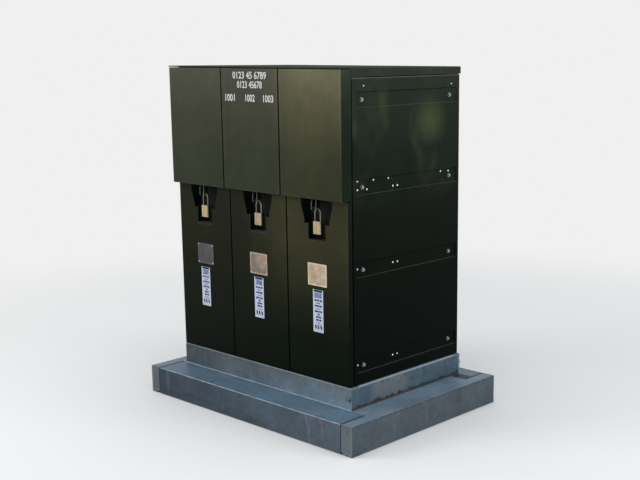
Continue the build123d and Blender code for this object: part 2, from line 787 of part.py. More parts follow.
# Mechanism fascia: the drilled front sheet of the operating space
z_axle = door_bottom + axle_rise
fascia_sheet_front = frame_back
sheet_low = hook_height + 12.0
sheet_high = rail_foot - 8.0
drill = 20.0
spindle_hole = 20.0
selector_offset = 70.0
selector_pin = 5.0
button_offset = 35.0
button_rise = 105.0
button_radius = 11.0
button_stem = 6.0
gauge_rise = 180.0
gauge_radius = 32.0
gauge_stem = 7.0
fascia_back = fascia_sheet_front + cover_sheet
with BuildPart() as mechanism_fascia:
    bar((inner_left, inner_right), (fascia_sheet_front, fascia_back), (sheet_low, sheet_high))
    for centre in way_centres:
        round_bar((centre, fascia_sheet_front, z_axle), "y", spindle_hole, drill, Mode.SUBTRACT)
        round_bar((centre + selector_offset, fascia_sheet_front, z_axle), "y",
                  selector_pin + run_fit, drill, Mode.SUBTRACT)
    for side in (-1, 1):
        round_bar((way_centres[ways // 2] + side * button_offset, fascia_sheet_front,
                   z_axle + button_rise), "y", button_stem + run_fit, drill, Mode.SUBTRACT)
    round_bar((way_centres[0], fascia_sheet_front, z_axle + gauge_rise), "y",
              gauge_stem + bolt_fit, drill, Mode.SUBTRACT)
finish(mechanism_fascia, "mechanism_fascia")

# Gas tank: a welded box with bearings for the switch spindles and seats for the bushings
y_tank = y_front + tank_front
y_tank_back = y_back - tank_rear
tank_high = z_roof - tank_headroom
tank_left = x_left + tank_side
tank_right = x_right - tank_side
bearing_length = 15.0
bearing_wall = 9.0
journal_radius = 10.0
bushing_core = 24.0
with BuildPart() as gas_tank:
    bar((tank_left, tank_right), (y_tank, y_tank_back), (tank_low, tank_high))
    fillet(gas_tank.edges().filter_by(Axis.Z), 2 * tank_wall)
    bar((tank_left + tank_wall, tank_right - tank_wall), (y_tank + tank_wall, y_tank_back - tank_wall),
        (tank_low + tank_wall, tank_high - tank_wall), Mode.SUBTRACT)
    for centre in way_centres:
        round_bar((centre, y_tank_back - tank_wall - bearing_length / 2, z_axle), "y",
                  journal_radius + bearing_wall, bearing_length)
        round_bar((centre, y_tank_back - tank_wall - bearing_length / 2, z_axle), "y",
                  journal_radius + run_fit, bearing_length, Mode.SUBTRACT)
        round_bar((centre, y_tank + tank_wall + bearing_length / 2, z_axle), "y",
                  spindle_diameter / 2 + bearing_wall, bearing_length)
        round_bar((centre, y_tank, z_axle), "y", spindle_diameter / 2 + run_fit,
                  4 * bearing_length, Mode.SUBTRACT)
        for phase in (-1, 0, 1):
            round_bar((centre + phase * bushing_pitch, y_tank, z_base + bushing_height), "y",
                      bushing_core + bolt_fit, 4 * tank_wall, Mode.SUBTRACT)
finish(gas_tank, "gas_tank")

# Cast resin bushings, three at each way, from the tank's front into the cable space
bushing_inner_end = y_tank + 55.0
with BuildPart() as cable_bushings:
    flange_radius = 44.0
    flange_thick = 12.0
    cone_root = 28.0
    cone_tip = 21.0
    cone_length = 88.0
    stud_radius = 8.0
    stud_length = 14.0
    y_seat = y_tank - seat_gap
    y_tip = y_seat - cone_length
    for centre in way_centres:
        for phase in (-1, 0, 1):
            x = centre + phase * bushing_pitch
            with BuildSketch(Plane((x, 0, z_base + bushing_height), x_dir=(1, 0, 0), z_dir=(0, 0, 1))):
                Polygon(
                    (0, bushing_inner_end),
                    (bushing_core, bushing_inner_end),
                    (bushing_core, y_seat),
                    (flange_radius, y_seat),
                    (flange_radius, y_seat - flange_thick),
                    (cone_root, y_seat - flange_thick),
                    (cone_tip, y_tip),
                    (stud_radius, y_tip),
                    (stud_radius, y_tip - stud_length),
                    (0, y_tip - stud_length),
                    align=None,
                )
            revolve(axis=Axis((x, 0, z_base + bushing_height), (0, 1, 0)))
finish(cable_bushings, "cable_bushings")

# Busbars through the tank, one for each phase, with a pair of contact leaves at each way
phase_planes = [y_tank + phase_first + phase_pitch * phase for phase in range(3)]
leaf_thick = 3.0
blade_thick = 8.0
blade_width = 24.0
blade_fit = 0.3
leaf_reach = 20.0
leaf_width = 30.0
leaf_clear = 4.0
busbar_height = 40.0
busbar_rise = 95.0
blade_room = blade_thick + 2 * blade_fit
busbar_thick = blade_room + 2 * leaf_thick
busbar_low = z_axle + blade_reach + busbar_rise
with BuildPart() as busbars:
    for y in phase_planes:
        thick = (y - busbar_thick / 2, y + busbar_thick / 2)
        bar((way_centres[0] - busbar_height, way_centres[-1] + busbar_height), thick,
            (busbar_low, busbar_low + busbar_height))
        for centre in way_centres:
            wide = (centre - leaf_width / 2, centre + leaf_width / 2)
            bar(wide, thick, (z_axle + blade_reach - leaf_reach, busbar_low))
            bar((wide[0] - 1, wide[1] + 1), (y - blade_room / 2, y + blade_room / 2),
                (z_axle, z_axle + blade_reach + leaf_clear), Mode.SUBTRACT)
finish(busbars, "busbars")

# Contacts on the cable side: leaves under each switch, and a bent bar down to the bushing
drop_half = 10.0
run_thick = 16.0
run_low = z_base + bushing_height - run_thick / 2
leaf_foot = z_axle - blade_reach - 24.0
with BuildPart() as cable_contacts:
    for centre in way_centres:
        for phase, y in enumerate(phase_planes):
            x_drop = centre + (phase - 1) * bushing_pitch
            thick = (y - busbar_thick / 2, y + busbar_thick / 2)
            wide = (centre - leaf_width / 2, centre + leaf_width / 2)
            bar(wide, thick, (leaf_foot, z_axle - blade_reach + leaf_reach))
            bar((wide[0] - 1, wide[1] + 1), (y - blade_room / 2, y + blade_room / 2),
                (z_axle - blade_reach - leaf_clear, z_axle), Mode.SUBTRACT)
            low, high = span(centre, x_drop)
            bar((low - drop_half, high + drop_half), thick, (leaf_foot, leaf_foot + run_thick))
            bar((x_drop - drop_half, x_drop + drop_half), thick, (run_low, leaf_foot + run_thick))
            bar((x_drop - drop_half, x_drop + drop_half), (bushing_inner_end + seat_gap, y),
                (run_low, run_low + run_thick))
finish(cable_contacts, "cable_contacts")

# Earthing contacts: one strip at each way with leaves that take the switch's turned blades
with BuildPart() as earth_contacts:
    strip_near = blade_reach + 6.0
    strip_thick = 8.0
    strip_before = 20.0
    strip_heights = (z_axle - leaf_width / 2, z_axle + leaf_width / 2)
    for centre in way_centres:
        bar((centre + strip_near, centre + strip_near + strip_thick),
            (phase_planes[0] - strip_before, y_tank_back - tank_wall), strip_heights)
        for y in phase_planes:
            bar((centre + blade_reach - leaf_reach, centre + strip_near),
                (y - busbar_thick / 2, y + busbar_thick / 2), strip_heights)
            bar((centre, centre + blade_reach + leaf_clear), (y - blade_room / 2, y + blade_room / 2),
                (strip_heights[0] - 1, strip_heights[1] + 1), Mode.SUBTRACT)
finish(earth_contacts, "earth_contacts")

# Drive boxes between the fascia and the tank: open-backed housings with a bearing
drive_half_width = 90.0
drive_half_height = 110.0
drive_depth = 118.0
drive_wall = 3.0
drive_front = y_tank - seat_gap - drive_depth
with BuildPart() as drive_boxes:
    for centre in way_centres:
        bar((centre - drive_half_width, centre + drive_half_width), (drive_front, y_tank - seat_gap),
            (z_axle - drive_half_height, z_axle + drive_half_height))
        bar((centre - drive_half_width + drive_wall, centre + drive_half_width - drive_wall),
            (drive_front + drive_wall, y_tank), (z_axle - drive_half_height + drive_wall,
                                                 z_axle + drive_half_height - drive_wall), Mode.SUBTRACT)
        round_bar((centre, drive_front + drive_wall + bearing_length / 2, z_axle), "y",
                  spindle_diameter / 2 + bearing_wall, bearing_length)
        round_bar((centre, drive_front, z_axle), "y", spindle_diameter / 2 + run_fit,
                  4 * bearing_length, Mode.SUBTRACT)
finish(drive_boxes, "drive_boxes")

# Switch spindles: turned shafts with a hexagon socket for the handle and a pointer collar
spindle_front = fascia_sheet_front - 16.0
spindle_shoulder = y_tank + tank_wall + bearing_length + seat_gap
hexagon_across = 18.0
hexagon_length = 12.0
collar_grow = 4.0
collar_length = 10.0
pointer_length = 26.0
pointer_root_half = 5.0
pointer_tip_half = 2.0
pointer_thick = 4.0
socket_depth = 34.0


def switch_spindle(label, centre):
    front_plane = Plane(origin=(centre, spindle_front, z_axle), x_dir=(1, 0, 0), z_dir=(0, 1, 0))
    with BuildPart() as spindle:
        with BuildSketch(front_plane):
            Circle(spindle_diameter / 2 + collar_grow)
        extrude(amount=collar_length)
        with BuildSketch(front_plane):
            Circle(spindle_diameter / 2)
        extrude(amount=spindle_shoulder - spindle_front)
        with BuildSketch(front_plane.offset(pointer_thick / 2)):
            Polygon((-pointer_root_half, 0), (pointer_root_half, 0), (pointer_tip_half, -pointer_length),
                    (-pointer_tip_half, -pointer_length), align=None)
        extrude(amount=pointer_thick)
        with BuildSketch(front_plane):
            RegularPolygon(socket_across / 2, 6, major_radius=False)
        extrude(amount=socket_depth, mode=Mode.SUBTRACT)
        with BuildSketch(Plane(origin=(centre, spindle_shoulder, z_axle), x_dir=(1, 0, 0),
                               z_dir=(0, 1, 0))):
            RegularPolygon(hexagon_across / 2, 6, major_radius=False)
        extrude(amount=hexagon_length)
    finish(spindle, label)


# Switch rotors: moulded shafts with three copper blades, turning inside the tank
rotor_radius = 22.0
rotor_front = spindle_shoulder + seat_gap
rotor_back = y_tank_back - tank_wall - bearing_length - seat_gap


def switch_rotor(label, centre):
    start = Plane(origin=(centre, rotor_front, z_axle), x_dir=(1, 0, 0), z_dir=(0, 1, 0))
    with BuildPart() as rotor:
        with BuildSketch(start):
            Circle(rotor_radius)
        extrude(amount=rotor_back - rotor_front)
        with BuildSketch(start):
            Circle(journal_radius)
        extrude(amount=rotor_back - rotor_front + bearing_length - 1)
        with BuildSketch(start):
            RegularPolygon(hexagon_across / 2 + run_fit, 6, major_radius=False)
        extrude(amount=hexagon_length + 2, mode=Mode.SUBTRACT)
        for y in phase_planes:
            bar((centre - blade_width / 2, centre + blade_width / 2),
                (y - blade_thick / 2, y + blade_thick / 2), (z_axle - blade_reach, z_axle + blade_reach))
    finish(rotor, label)


# Selectors: flat levers on a shouldered stud, which cover the socket when turned across it
selector_back = spindle_front - 4.0
selector_thick = 4.0
paddle_radius = 19.0
hub_radius = 11.0
arm_width = 14.0
stud_shoulder = 3.0
stud_past = 6.0


def selector(label, centre):
    x = centre + selector_offset
    plane = Plane(origin=(x, selector_back - selector_thick, z_axle), x_dir=(1, 0, 0), z_dir=(0, 1, 0))
    stud_length = fascia_back + stud_past - selector_back
    with BuildPart() as lever:
        with BuildSketch(plane):
            Circle(hub_radius)
            with Locations((0, selector_offset)):
                Circle(paddle_radius)
            with Locations((0, selector_offset / 2)):
                Rectangle(arm_width, selector_offset)
        extrude(amount=selector_thick)
        round_bar((x, selector_back + stud_length / 2, z_axle), "y", selector_pin, stud_length)
        shoulder = fascia_sheet_front - seat_gap - selector_back
        round_bar((x, selector_back + shoulder / 2, z_axle), "y", selector_pin + stud_shoulder, shoulder)
    finish(lever, label)


for way, centre in enumerate(way_centres, 1):
    switch_spindle(f"switch_spindle_{way}", centre)
    switch_rotor(f"switch_rotor_{way}", centre)
    selector(f"selector_{way}", centre)


# Push buttons at the middle way: a domed cap on a stem with a retaining collar
button_travel = 6.0
button_cap = 12.0
button_clear = 1.0
button_dome = 2.5
stem_past = 20.0
retainer_grow = 3.0
retainer_thick = 4.0


def push_button(label, side):
    x = way_centres[ways // 2] + side * button_offset
    z = z_axle + button_rise
    cap_back = fascia_sheet_front - button_travel - button_clear
    with BuildPart() as button:
        round_bar((x, cap_back - button_cap / 2, z), "y", button_radius, button_cap)
        fillet(button.edges().filter_by(GeomType.CIRCLE).sort_by(Axis.Y)[0], button_dome)
        stem = fascia_back + stem_past - cap_back
        round_bar((x, cap_back + stem / 2, z), "y", button_stem, stem)
        round_bar((x, fascia_back + seat_gap + retainer_thick / 2, z), "y",
                  button_stem + retainer_grow, retainer_thick)
    finish(button, label)


push_button("close_button", -1)
push_button("trip_button", 1)

# Voltage indicators: a small moulded box at each way with three test sockets
with BuildPart() as voltage_indicators:
    box_half = 48.0
    box_height = 44.0
    box_depth = 18.0
    box_low = sheet_low + 24.0
    test_pitch = 28.0
    test_rise = 16.0
    test_radius = 4.0
    test_depth = 8.0
    for centre in way_centres:
        bar((centre - box_half, centre + box_half),
            (fascia_sheet_front - seat_gap - box_depth, fascia_sheet_front - seat_gap),
            (box_low, box_low + box_height))
        for step in (-1, 0, 1):
            round_bar((centre + step * test_pitch, fascia_sheet_front - seat_gap - box_depth,
                       box_low + test_rise), "y", test_radius, 2 * test_depth, Mode.SUBTRACT)
finish(voltage_indicators, "voltage_indicators")

# Gas gauge at the first way: an open dish with a stem through the fascia, and its pointer
gauge_depth = 22.0
gauge_wall = 3.0
gauge_x = way_centres[0]
gauge_z = z_axle + gauge_rise
gauge_back = fascia_sheet_front - seat_gap
gauge_stem_length = 22.0
gauge_stem_inside = 2.0
pointer_pin = 2.0
pin_reach = 8.0
pointer_run = 0.5
with BuildPart() as gauge_case:
    round_bar((gauge_x, gauge_back - gauge_depth / 2, gauge_z), "y", gauge_radius, gauge_depth)
    round_bar((gauge_x, gauge_back - gauge_wall - gauge_depth / 2, gauge_z), "y",
              gauge_radius - gauge_wall, gauge_depth, Mode.SUBTRACT)
    round_bar((gauge_x, gauge_back - gauge_stem_inside + gauge_stem_length / 2, gauge_z), "y",
              gauge_stem, gauge_stem_length)
    round_bar((gauge_x, gauge_back - gauge_wall, gauge_z), "y", pointer_pin + run_fit,
              2 * pin_reach, Mode.SUBTRACT)
finish(gauge_case, "gauge_case")

needle_off = 5.0
needle_hub = 4.0
needle_tail = 9.0
needle_tail_half = 2.5
needle_length = 24.0
needle_tip_half = 0.8
needle_thick = 1.5
with BuildPart() as gauge_pointer:
    dial_front = gauge_back - gauge_wall
    needle = Plane(origin=(gauge_x, dial_front - needle_off, gauge_z), x_dir=(1, 0, 0), z_dir=(0, 1, 0))
    with BuildSketch(needle):
        Circle(needle_hub)
        Polygon((-needle_tail_half, needle_tail), (needle_tail_half, needle_tail),
                (needle_tip_half, -needle_length), (-needle_tip_half, -needle_length), align=None)
    extrude(amount=needle_thick)
    round_bar((gauge_x, dial_front, gauge_z), "y", pointer_pin, 2 * (needle_off - pointer_run))
finish(gauge_pointer, "gauge_pointer")
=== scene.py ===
"""Ring main unit: the finish of its sheet steel cabinet, zinc plinth, padlocks and switchgear.

Lengths are metres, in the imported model's own frame: X to the right along the front, Y to the
back, Z up, with the origin on the ground under the middle of the plinth.
"""
import math

import bpy
from mathutils import Matrix, Vector


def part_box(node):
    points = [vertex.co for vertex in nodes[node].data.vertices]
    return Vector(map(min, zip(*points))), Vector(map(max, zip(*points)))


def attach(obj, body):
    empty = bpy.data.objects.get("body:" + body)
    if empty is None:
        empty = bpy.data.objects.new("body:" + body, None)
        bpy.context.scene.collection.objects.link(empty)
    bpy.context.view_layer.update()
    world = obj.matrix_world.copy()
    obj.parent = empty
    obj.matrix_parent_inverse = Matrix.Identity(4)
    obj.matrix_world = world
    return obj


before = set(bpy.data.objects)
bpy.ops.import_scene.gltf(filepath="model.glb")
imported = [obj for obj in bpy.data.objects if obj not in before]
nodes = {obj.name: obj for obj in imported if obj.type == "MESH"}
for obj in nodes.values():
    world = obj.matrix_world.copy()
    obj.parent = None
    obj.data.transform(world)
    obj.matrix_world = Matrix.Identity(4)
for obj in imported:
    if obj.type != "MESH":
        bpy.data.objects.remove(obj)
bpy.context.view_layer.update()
bpy.ops.object.select_all(action="DESELECT")
ways = [name.rsplit("_", 1)[1] for name in sorted(nodes) if name.startswith("upper_door_")]

# Plinth: four folded members of 3 mm galvanised steel, bolted together at the corners. The zinc
# has dulled to a blue grey, with a painted highlight along each fold. Rain has left runs and pits,
# and a line of dirt and rust where water stands against the side upstands.
# One zinc in three tones, for the outer face, the ledge and the upstand. The ledge, which faces up, is painted lighter
# as painted light.
zinc_front_shades = ((0.029, 0.046, 0.065), (0.092, 0.151, 0.202), (0.118, 0.154, 0.181))
zinc_face_right = (2.40, 2.06, 1.86)
zinc_wall_foot = (1.33, 1.42, 1.56)
zinc_wall_head = (0.78, 0.76, 0.72)
zinc_side_shades = ((0.075, 0.099, 0.116), (0.128, 0.180, 0.235), (0.077, 0.122, 0.158))
# A pale tone for the rain runs and for the painted highlight along folds and edges.
zinc_run_and_highlight = (0.270, 0.340, 0.400)
zinc_pale = (0.170, 0.190, 0.205)
zinc_cream = (0.158, 0.184, 0.196)
zinc_dark = (0.030, 0.042, 0.050)
zinc_rust = (0.055, 0.034, 0.026)
zinc_pit = (0.018, 0.021, 0.024)
# Painted shade for the gap at each corner.
zinc_slit_shade = (0.012, 0.020, 0.032)
cap_shades = {1: ((0.118, 0.142, 0.155), (0.108, 0.120, 0.136)), -1: ((0.092, 0.106, 0.122), (0.105, 0.120, 0.136))}
spangle_scale = 62.0
ledge_height = 0.128
cabinet_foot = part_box("plinth_front")[1].z
front_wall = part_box("cable_cover_1")[0].y
side_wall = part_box("end_panel_right")[1].x + 0.007
rear_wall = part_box("back_panel")[1].y
front_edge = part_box("plinth_front")[0].y
side_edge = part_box("plinth_right")[1].x


def new_finish(name):
    """An empty principled material, its node tree and its shader."""
    made = bpy.data.materials.new(name)
    made.use_nodes = True
    return made, made.node_tree, made.node_tree.nodes["Principled BSDF"]


def add_node(tree, kind, inputs=None, **settings):
    """A new node with its settings and its inputs, each a number, a colour or a socket."""
    made = tree.nodes.new(kind)
    for key, value in settings.items():
        setattr(made, key, value)
    for key, value in (inputs or {}).items():
        if isinstance(value, bpy.types.NodeSocket):
            tree.links.new(value, made.inputs[key])
        else:
            made.inputs[key].default_value = value
    return made


def spot(tree):
    """Where a point lies on the part, in metres."""
    return add_node(tree, "ShaderNodeTexCoord").outputs["Object"]


def along(tree, axis):
    """How far a point lies along X, Y or Z."""
    return add_node(tree, "ShaderNodeSeparateXYZ", {"Vector": spot(tree)}).outputs[axis]


def noise(tree, size, stretch=(1, 1, 1), detail=4.0, rough=0.55):
    """Noise whose blotches are about size metres across."""
    place = add_node(tree, "ShaderNodeMapping", {"Vector": spot(tree), "Scale": stretch})
    made = add_node(tree, "ShaderNodeTexNoise", {"Vector": place.outputs["Vector"], "Scale": 1 / size,
                                                 "Detail": detail, "Roughness": rough})
    return made.outputs["Fac"]


def ramp(tree, value, low, high, start=0.0, end=1.0, curve="LINEAR"):
    """A value between low and high carried over to between start and end, and held there."""
    return add_node(tree, "ShaderNodeMapRange", {"Value": value, "From Min": low, "From Max": high,
                                                 "To Min": start, "To Max": end},
                    interpolation_type=curve).outputs["Result"]


def calculate(tree, operation, one, other=0.0):
    """One arithmetic step."""
    return add_node(tree, "ShaderNodeMath", {0: one, 1: other}, operation=operation).outputs[0]


def mix_tones(tree, amount, one, other, blend="MIX"):
    """Two tones mixed by an amount from 0 to 1."""
    tones = [value if isinstance(value, bpy.types.NodeSocket) else (*value, 1) for value in (one, other)]
    return add_node(tree, "ShaderNodeMix", {0: amount, 6: tones[0], 7: tones[1]}, data_type="RGBA",
                    blend_type=blend).outputs[2]


def scale_tone(tree, tone, amount):
    """A tone made lighter or darker."""
    return add_node(tree, "ShaderNodeVectorMath", {0: tone, "Scale": amount}, operation="SCALE").outputs[0]


def facing(tree, direction, start, full):
    """How much the surface faces a direction, as the metal lies."""
    normal = add_node(tree, "ShaderNodeTexCoord").outputs["Normal"]
    made = add_node(tree, "ShaderNodeVectorMath", {0: normal, 1: direction}, operation="DOT_PRODUCT")
    return ramp(tree, made.outputs["Value"], start, full)


def stripe(tree, value, place, half):
    """A line at a place, with soft edges half its width away."""
    away = calculate(tree, "ABSOLUTE", calculate(tree, "SUBTRACT", value, place))
    return ramp(tree, away, half * 0.5, half, 1.0, 0.0)


def bloom(tree, centre, reach):
    """A soft round patch."""
    away = add_node(tree, "ShaderNodeVectorMath", {0: spot(tree), 1: centre}, operation="DISTANCE")
    return ramp(tree, away.outputs["Value"], 0.0, reach, 1.0, 0.0, "SMOOTHSTEP")


def relief(tree, shader, height, strength, distance):
    """Surface relief from a height, in metres at full strength."""
    made = add_node(tree, "ShaderNodeBump", {"Height": height, "Strength": strength, "Distance": distance})
    tree.links.new(made.outputs["Normal"], shader.inputs["Normal"])


def assign(finish, *names):
    """Give CAD nodes a finish in place of the plain one they came with."""
    for name in names:
        nodes[name].data.materials.clear()
        nodes[name].data.materials.append(finish)


def zinc_base(name, shades):
    """Zinc with clouds, spangle, runs and pits, in the shades of a face, a ledge and an upstand.
    The ledge, which faces up, is painted lighter, a painted light.
    """
    made, tree, shader = new_finish(name)
    up = facing(tree, (0, 0, 1), 0.5, 0.8)
    upright = calculate(tree, "SUBTRACT", 1.0, up)
    height = along(tree, "Z")
    clouds = noise(tree, 0.17, detail=6.0)
    mottle = noise(tree, 0.024, detail=5.0, rough=0.65)
    tint = mix_tones(tree, ramp(tree, noise(tree, 0.10), 0.38, 0.62), (0.94, 1.0, 1.03), (1.08, 1.0, 0.95))
    tone = mix_tones(tree, ramp(tree, height, ledge_height - 0.001, ledge_height + 0.001), shades[0], shades[2])
    # Painted light: what faces up takes the ledge's lighter tone.
    tone = mix_tones(tree, up, tone, shades[1])
    tone = mix_tones(tree, 1.0, tone, tint, "MULTIPLY")
    tone = scale_tone(tree, tone, ramp(tree, clouds, 0.32, 0.68, 0.80, 1.20))
    tone = scale_tone(tree, tone, ramp(tree, mottle, 0.30, 0.70, 0.86, 1.14))
    cells = add_node(tree, "ShaderNodeTexVoronoi", {"Vector": spot(tree), "Scale": spangle_scale})
    grey = add_node(tree, "ShaderNodeRGBToBW", {"Color": cells.outputs["Color"]}).outputs["Val"]
    tone = scale_tone(tree, tone, ramp(tree, grey, 0.0, 1.0, 0.93, 1.07))
    runs = ramp(tree, noise(tree, 0.05, (1, 1, 0.16), detail=5.0), 0.58, 0.76, 0.0, 0.22)
    tone = mix_tones(tree, calculate(tree, "MULTIPLY", runs, upright), tone, zinc_run_and_highlight)
    pits = ramp(tree, noise(tree, 0.010, detail=2.0), 0.72, 0.76)
    tone = mix_tones(tree, calculate(tree, "MULTIPLY", pits, ramp(tree, clouds, 0.45, 0.6)), tone, zinc_pit)
    foot = ramp(tree, height, 0.004, 0.007, 1.25, 1.0)
    tone = scale_tone(tree, tone, foot)
    tree.links.new(ramp(tree, clouds, 0.3, 0.7, 0.42, 0.58), shader.inputs["Roughness"])
    shader.inputs["Metallic"].default_value = 0.15
    shader.inputs["Specular IOR Level"].default_value = 0.2
    grain = calculate(tree, "ADD", calculate(tree, "MULTIPLY", grey, 0.25), mottle)
    relief(tree, shader, grain, 0.25, 0.0006)
    return made, tree, shader, tone, up, upright, height


def zinc_long(name, outer, wall):
    """A front or rear member, with a painted highlight along each fold and along its top edge."""
    made, tree, shader, tone, up, upright, height = zinc_base(name, zinc_front_shades)
    outer_face = calculate(tree, "MULTIPLY", upright, ramp(tree, height, ledge_height + 0.001, ledge_height))
    wall_face = calculate(tree, "MULTIPLY", upright, ramp(tree, height, ledge_height, ledge_height + 0.001))
    rightward = ramp(tree, along(tree, "X"), -0.55, 0.57)
    rise = ramp(tree, height, ledge_height, cabinet_foot)
    plain = (1.0, 1.0, 1.0)
    # Tone gains: the outer face lighter towards the right; the upstand lighter and bluer at its foot, darker and warmer
    # at its head, and lighter towards the right.
    face_gain = mix_tones(tree, rightward, plain, zinc_face_right)
    wall_gain = scale_tone(tree, mix_tones(tree, rise, zinc_wall_foot, zinc_wall_head),
                              ramp(tree, rightward, 0.0, 0.9, 0.46, 1.27))
    face_and_wall_gain = mix_tones(tree, outer_face, mix_tones(tree, wall_face, plain, wall_gain), face_gain)
    tone = mix_tones(tree, 1.0, tone, face_and_wall_gain, "MULTIPLY")
    reach = along(tree, "Y")
    # Along the ledge's outer fold and its foot: a narrow painted highlight in a wider painted shade.
    flat_fold_highlight = calculate(tree, "MAXIMUM", stripe(tree, reach, outer, 0.005), stripe(tree, reach, wall, 0.004))
    shadow = calculate(tree, "MAXIMUM", stripe(tree, reach, outer, 0.016), stripe(tree, reach, wall, 0.014))
    tone = scale_tone(tree, tone, ramp(tree, calculate(tree, "MULTIPLY", shadow, up), 0.0, 1.0, 1.0, 0.72))
    # Painted highlight along the bends at the ledge's height and along the upstand's top edge, broken up in patches.
    top_edge_highlight = calculate(tree, "MULTIPLY", stripe(tree, height, cabinet_foot, 0.0060), 0.60)
    crease_highlights = calculate(tree, "MAXIMUM", stripe(tree, height, ledge_height, 0.0045), top_edge_highlight)
    fold_highlights = calculate(tree, "ADD", calculate(tree, "MULTIPLY", flat_fold_highlight, up),
                      calculate(tree, "MULTIPLY", crease_highlights, upright))
    patchy_mask = ramp(tree, noise(tree, 0.030, detail=5.0), 0.30, 0.62, 0.30, 0.85)
    tone = mix_tones(tree, calculate(tree, "MULTIPLY", fold_highlights, patchy_mask), tone, zinc_run_and_highlight)
    smear = ramp(tree, noise(tree, 0.030, (0.22, 1, 1.2), detail=4.0), 0.52, 0.64)
    low = calculate(tree, "MULTIPLY", stripe(tree, height, 0.028, 0.030), upright)
    left = calculate(tree, "MULTIPLY", low, ramp(tree, along(tree, "X"), 0.20, 0.0))
    tone = mix_tones(tree, calculate(tree, "MULTIPLY", calculate(tree, "MULTIPLY", smear, left), 0.7), tone,
                     zinc_dark)
    # Painted shade: a dark strip on the ledge by the gap at each corner.
    slit_shade = calculate(tree, "MULTIPLY", ramp(tree, calculate(tree, "ABSOLUTE", along(tree, "X")), 0.5885, 0.5915), up)
    tone = mix_tones(tree, slit_shade, tone, zinc_slit_shade)
    tree.links.new(tone, shader.inputs["Base Color"])
    return made


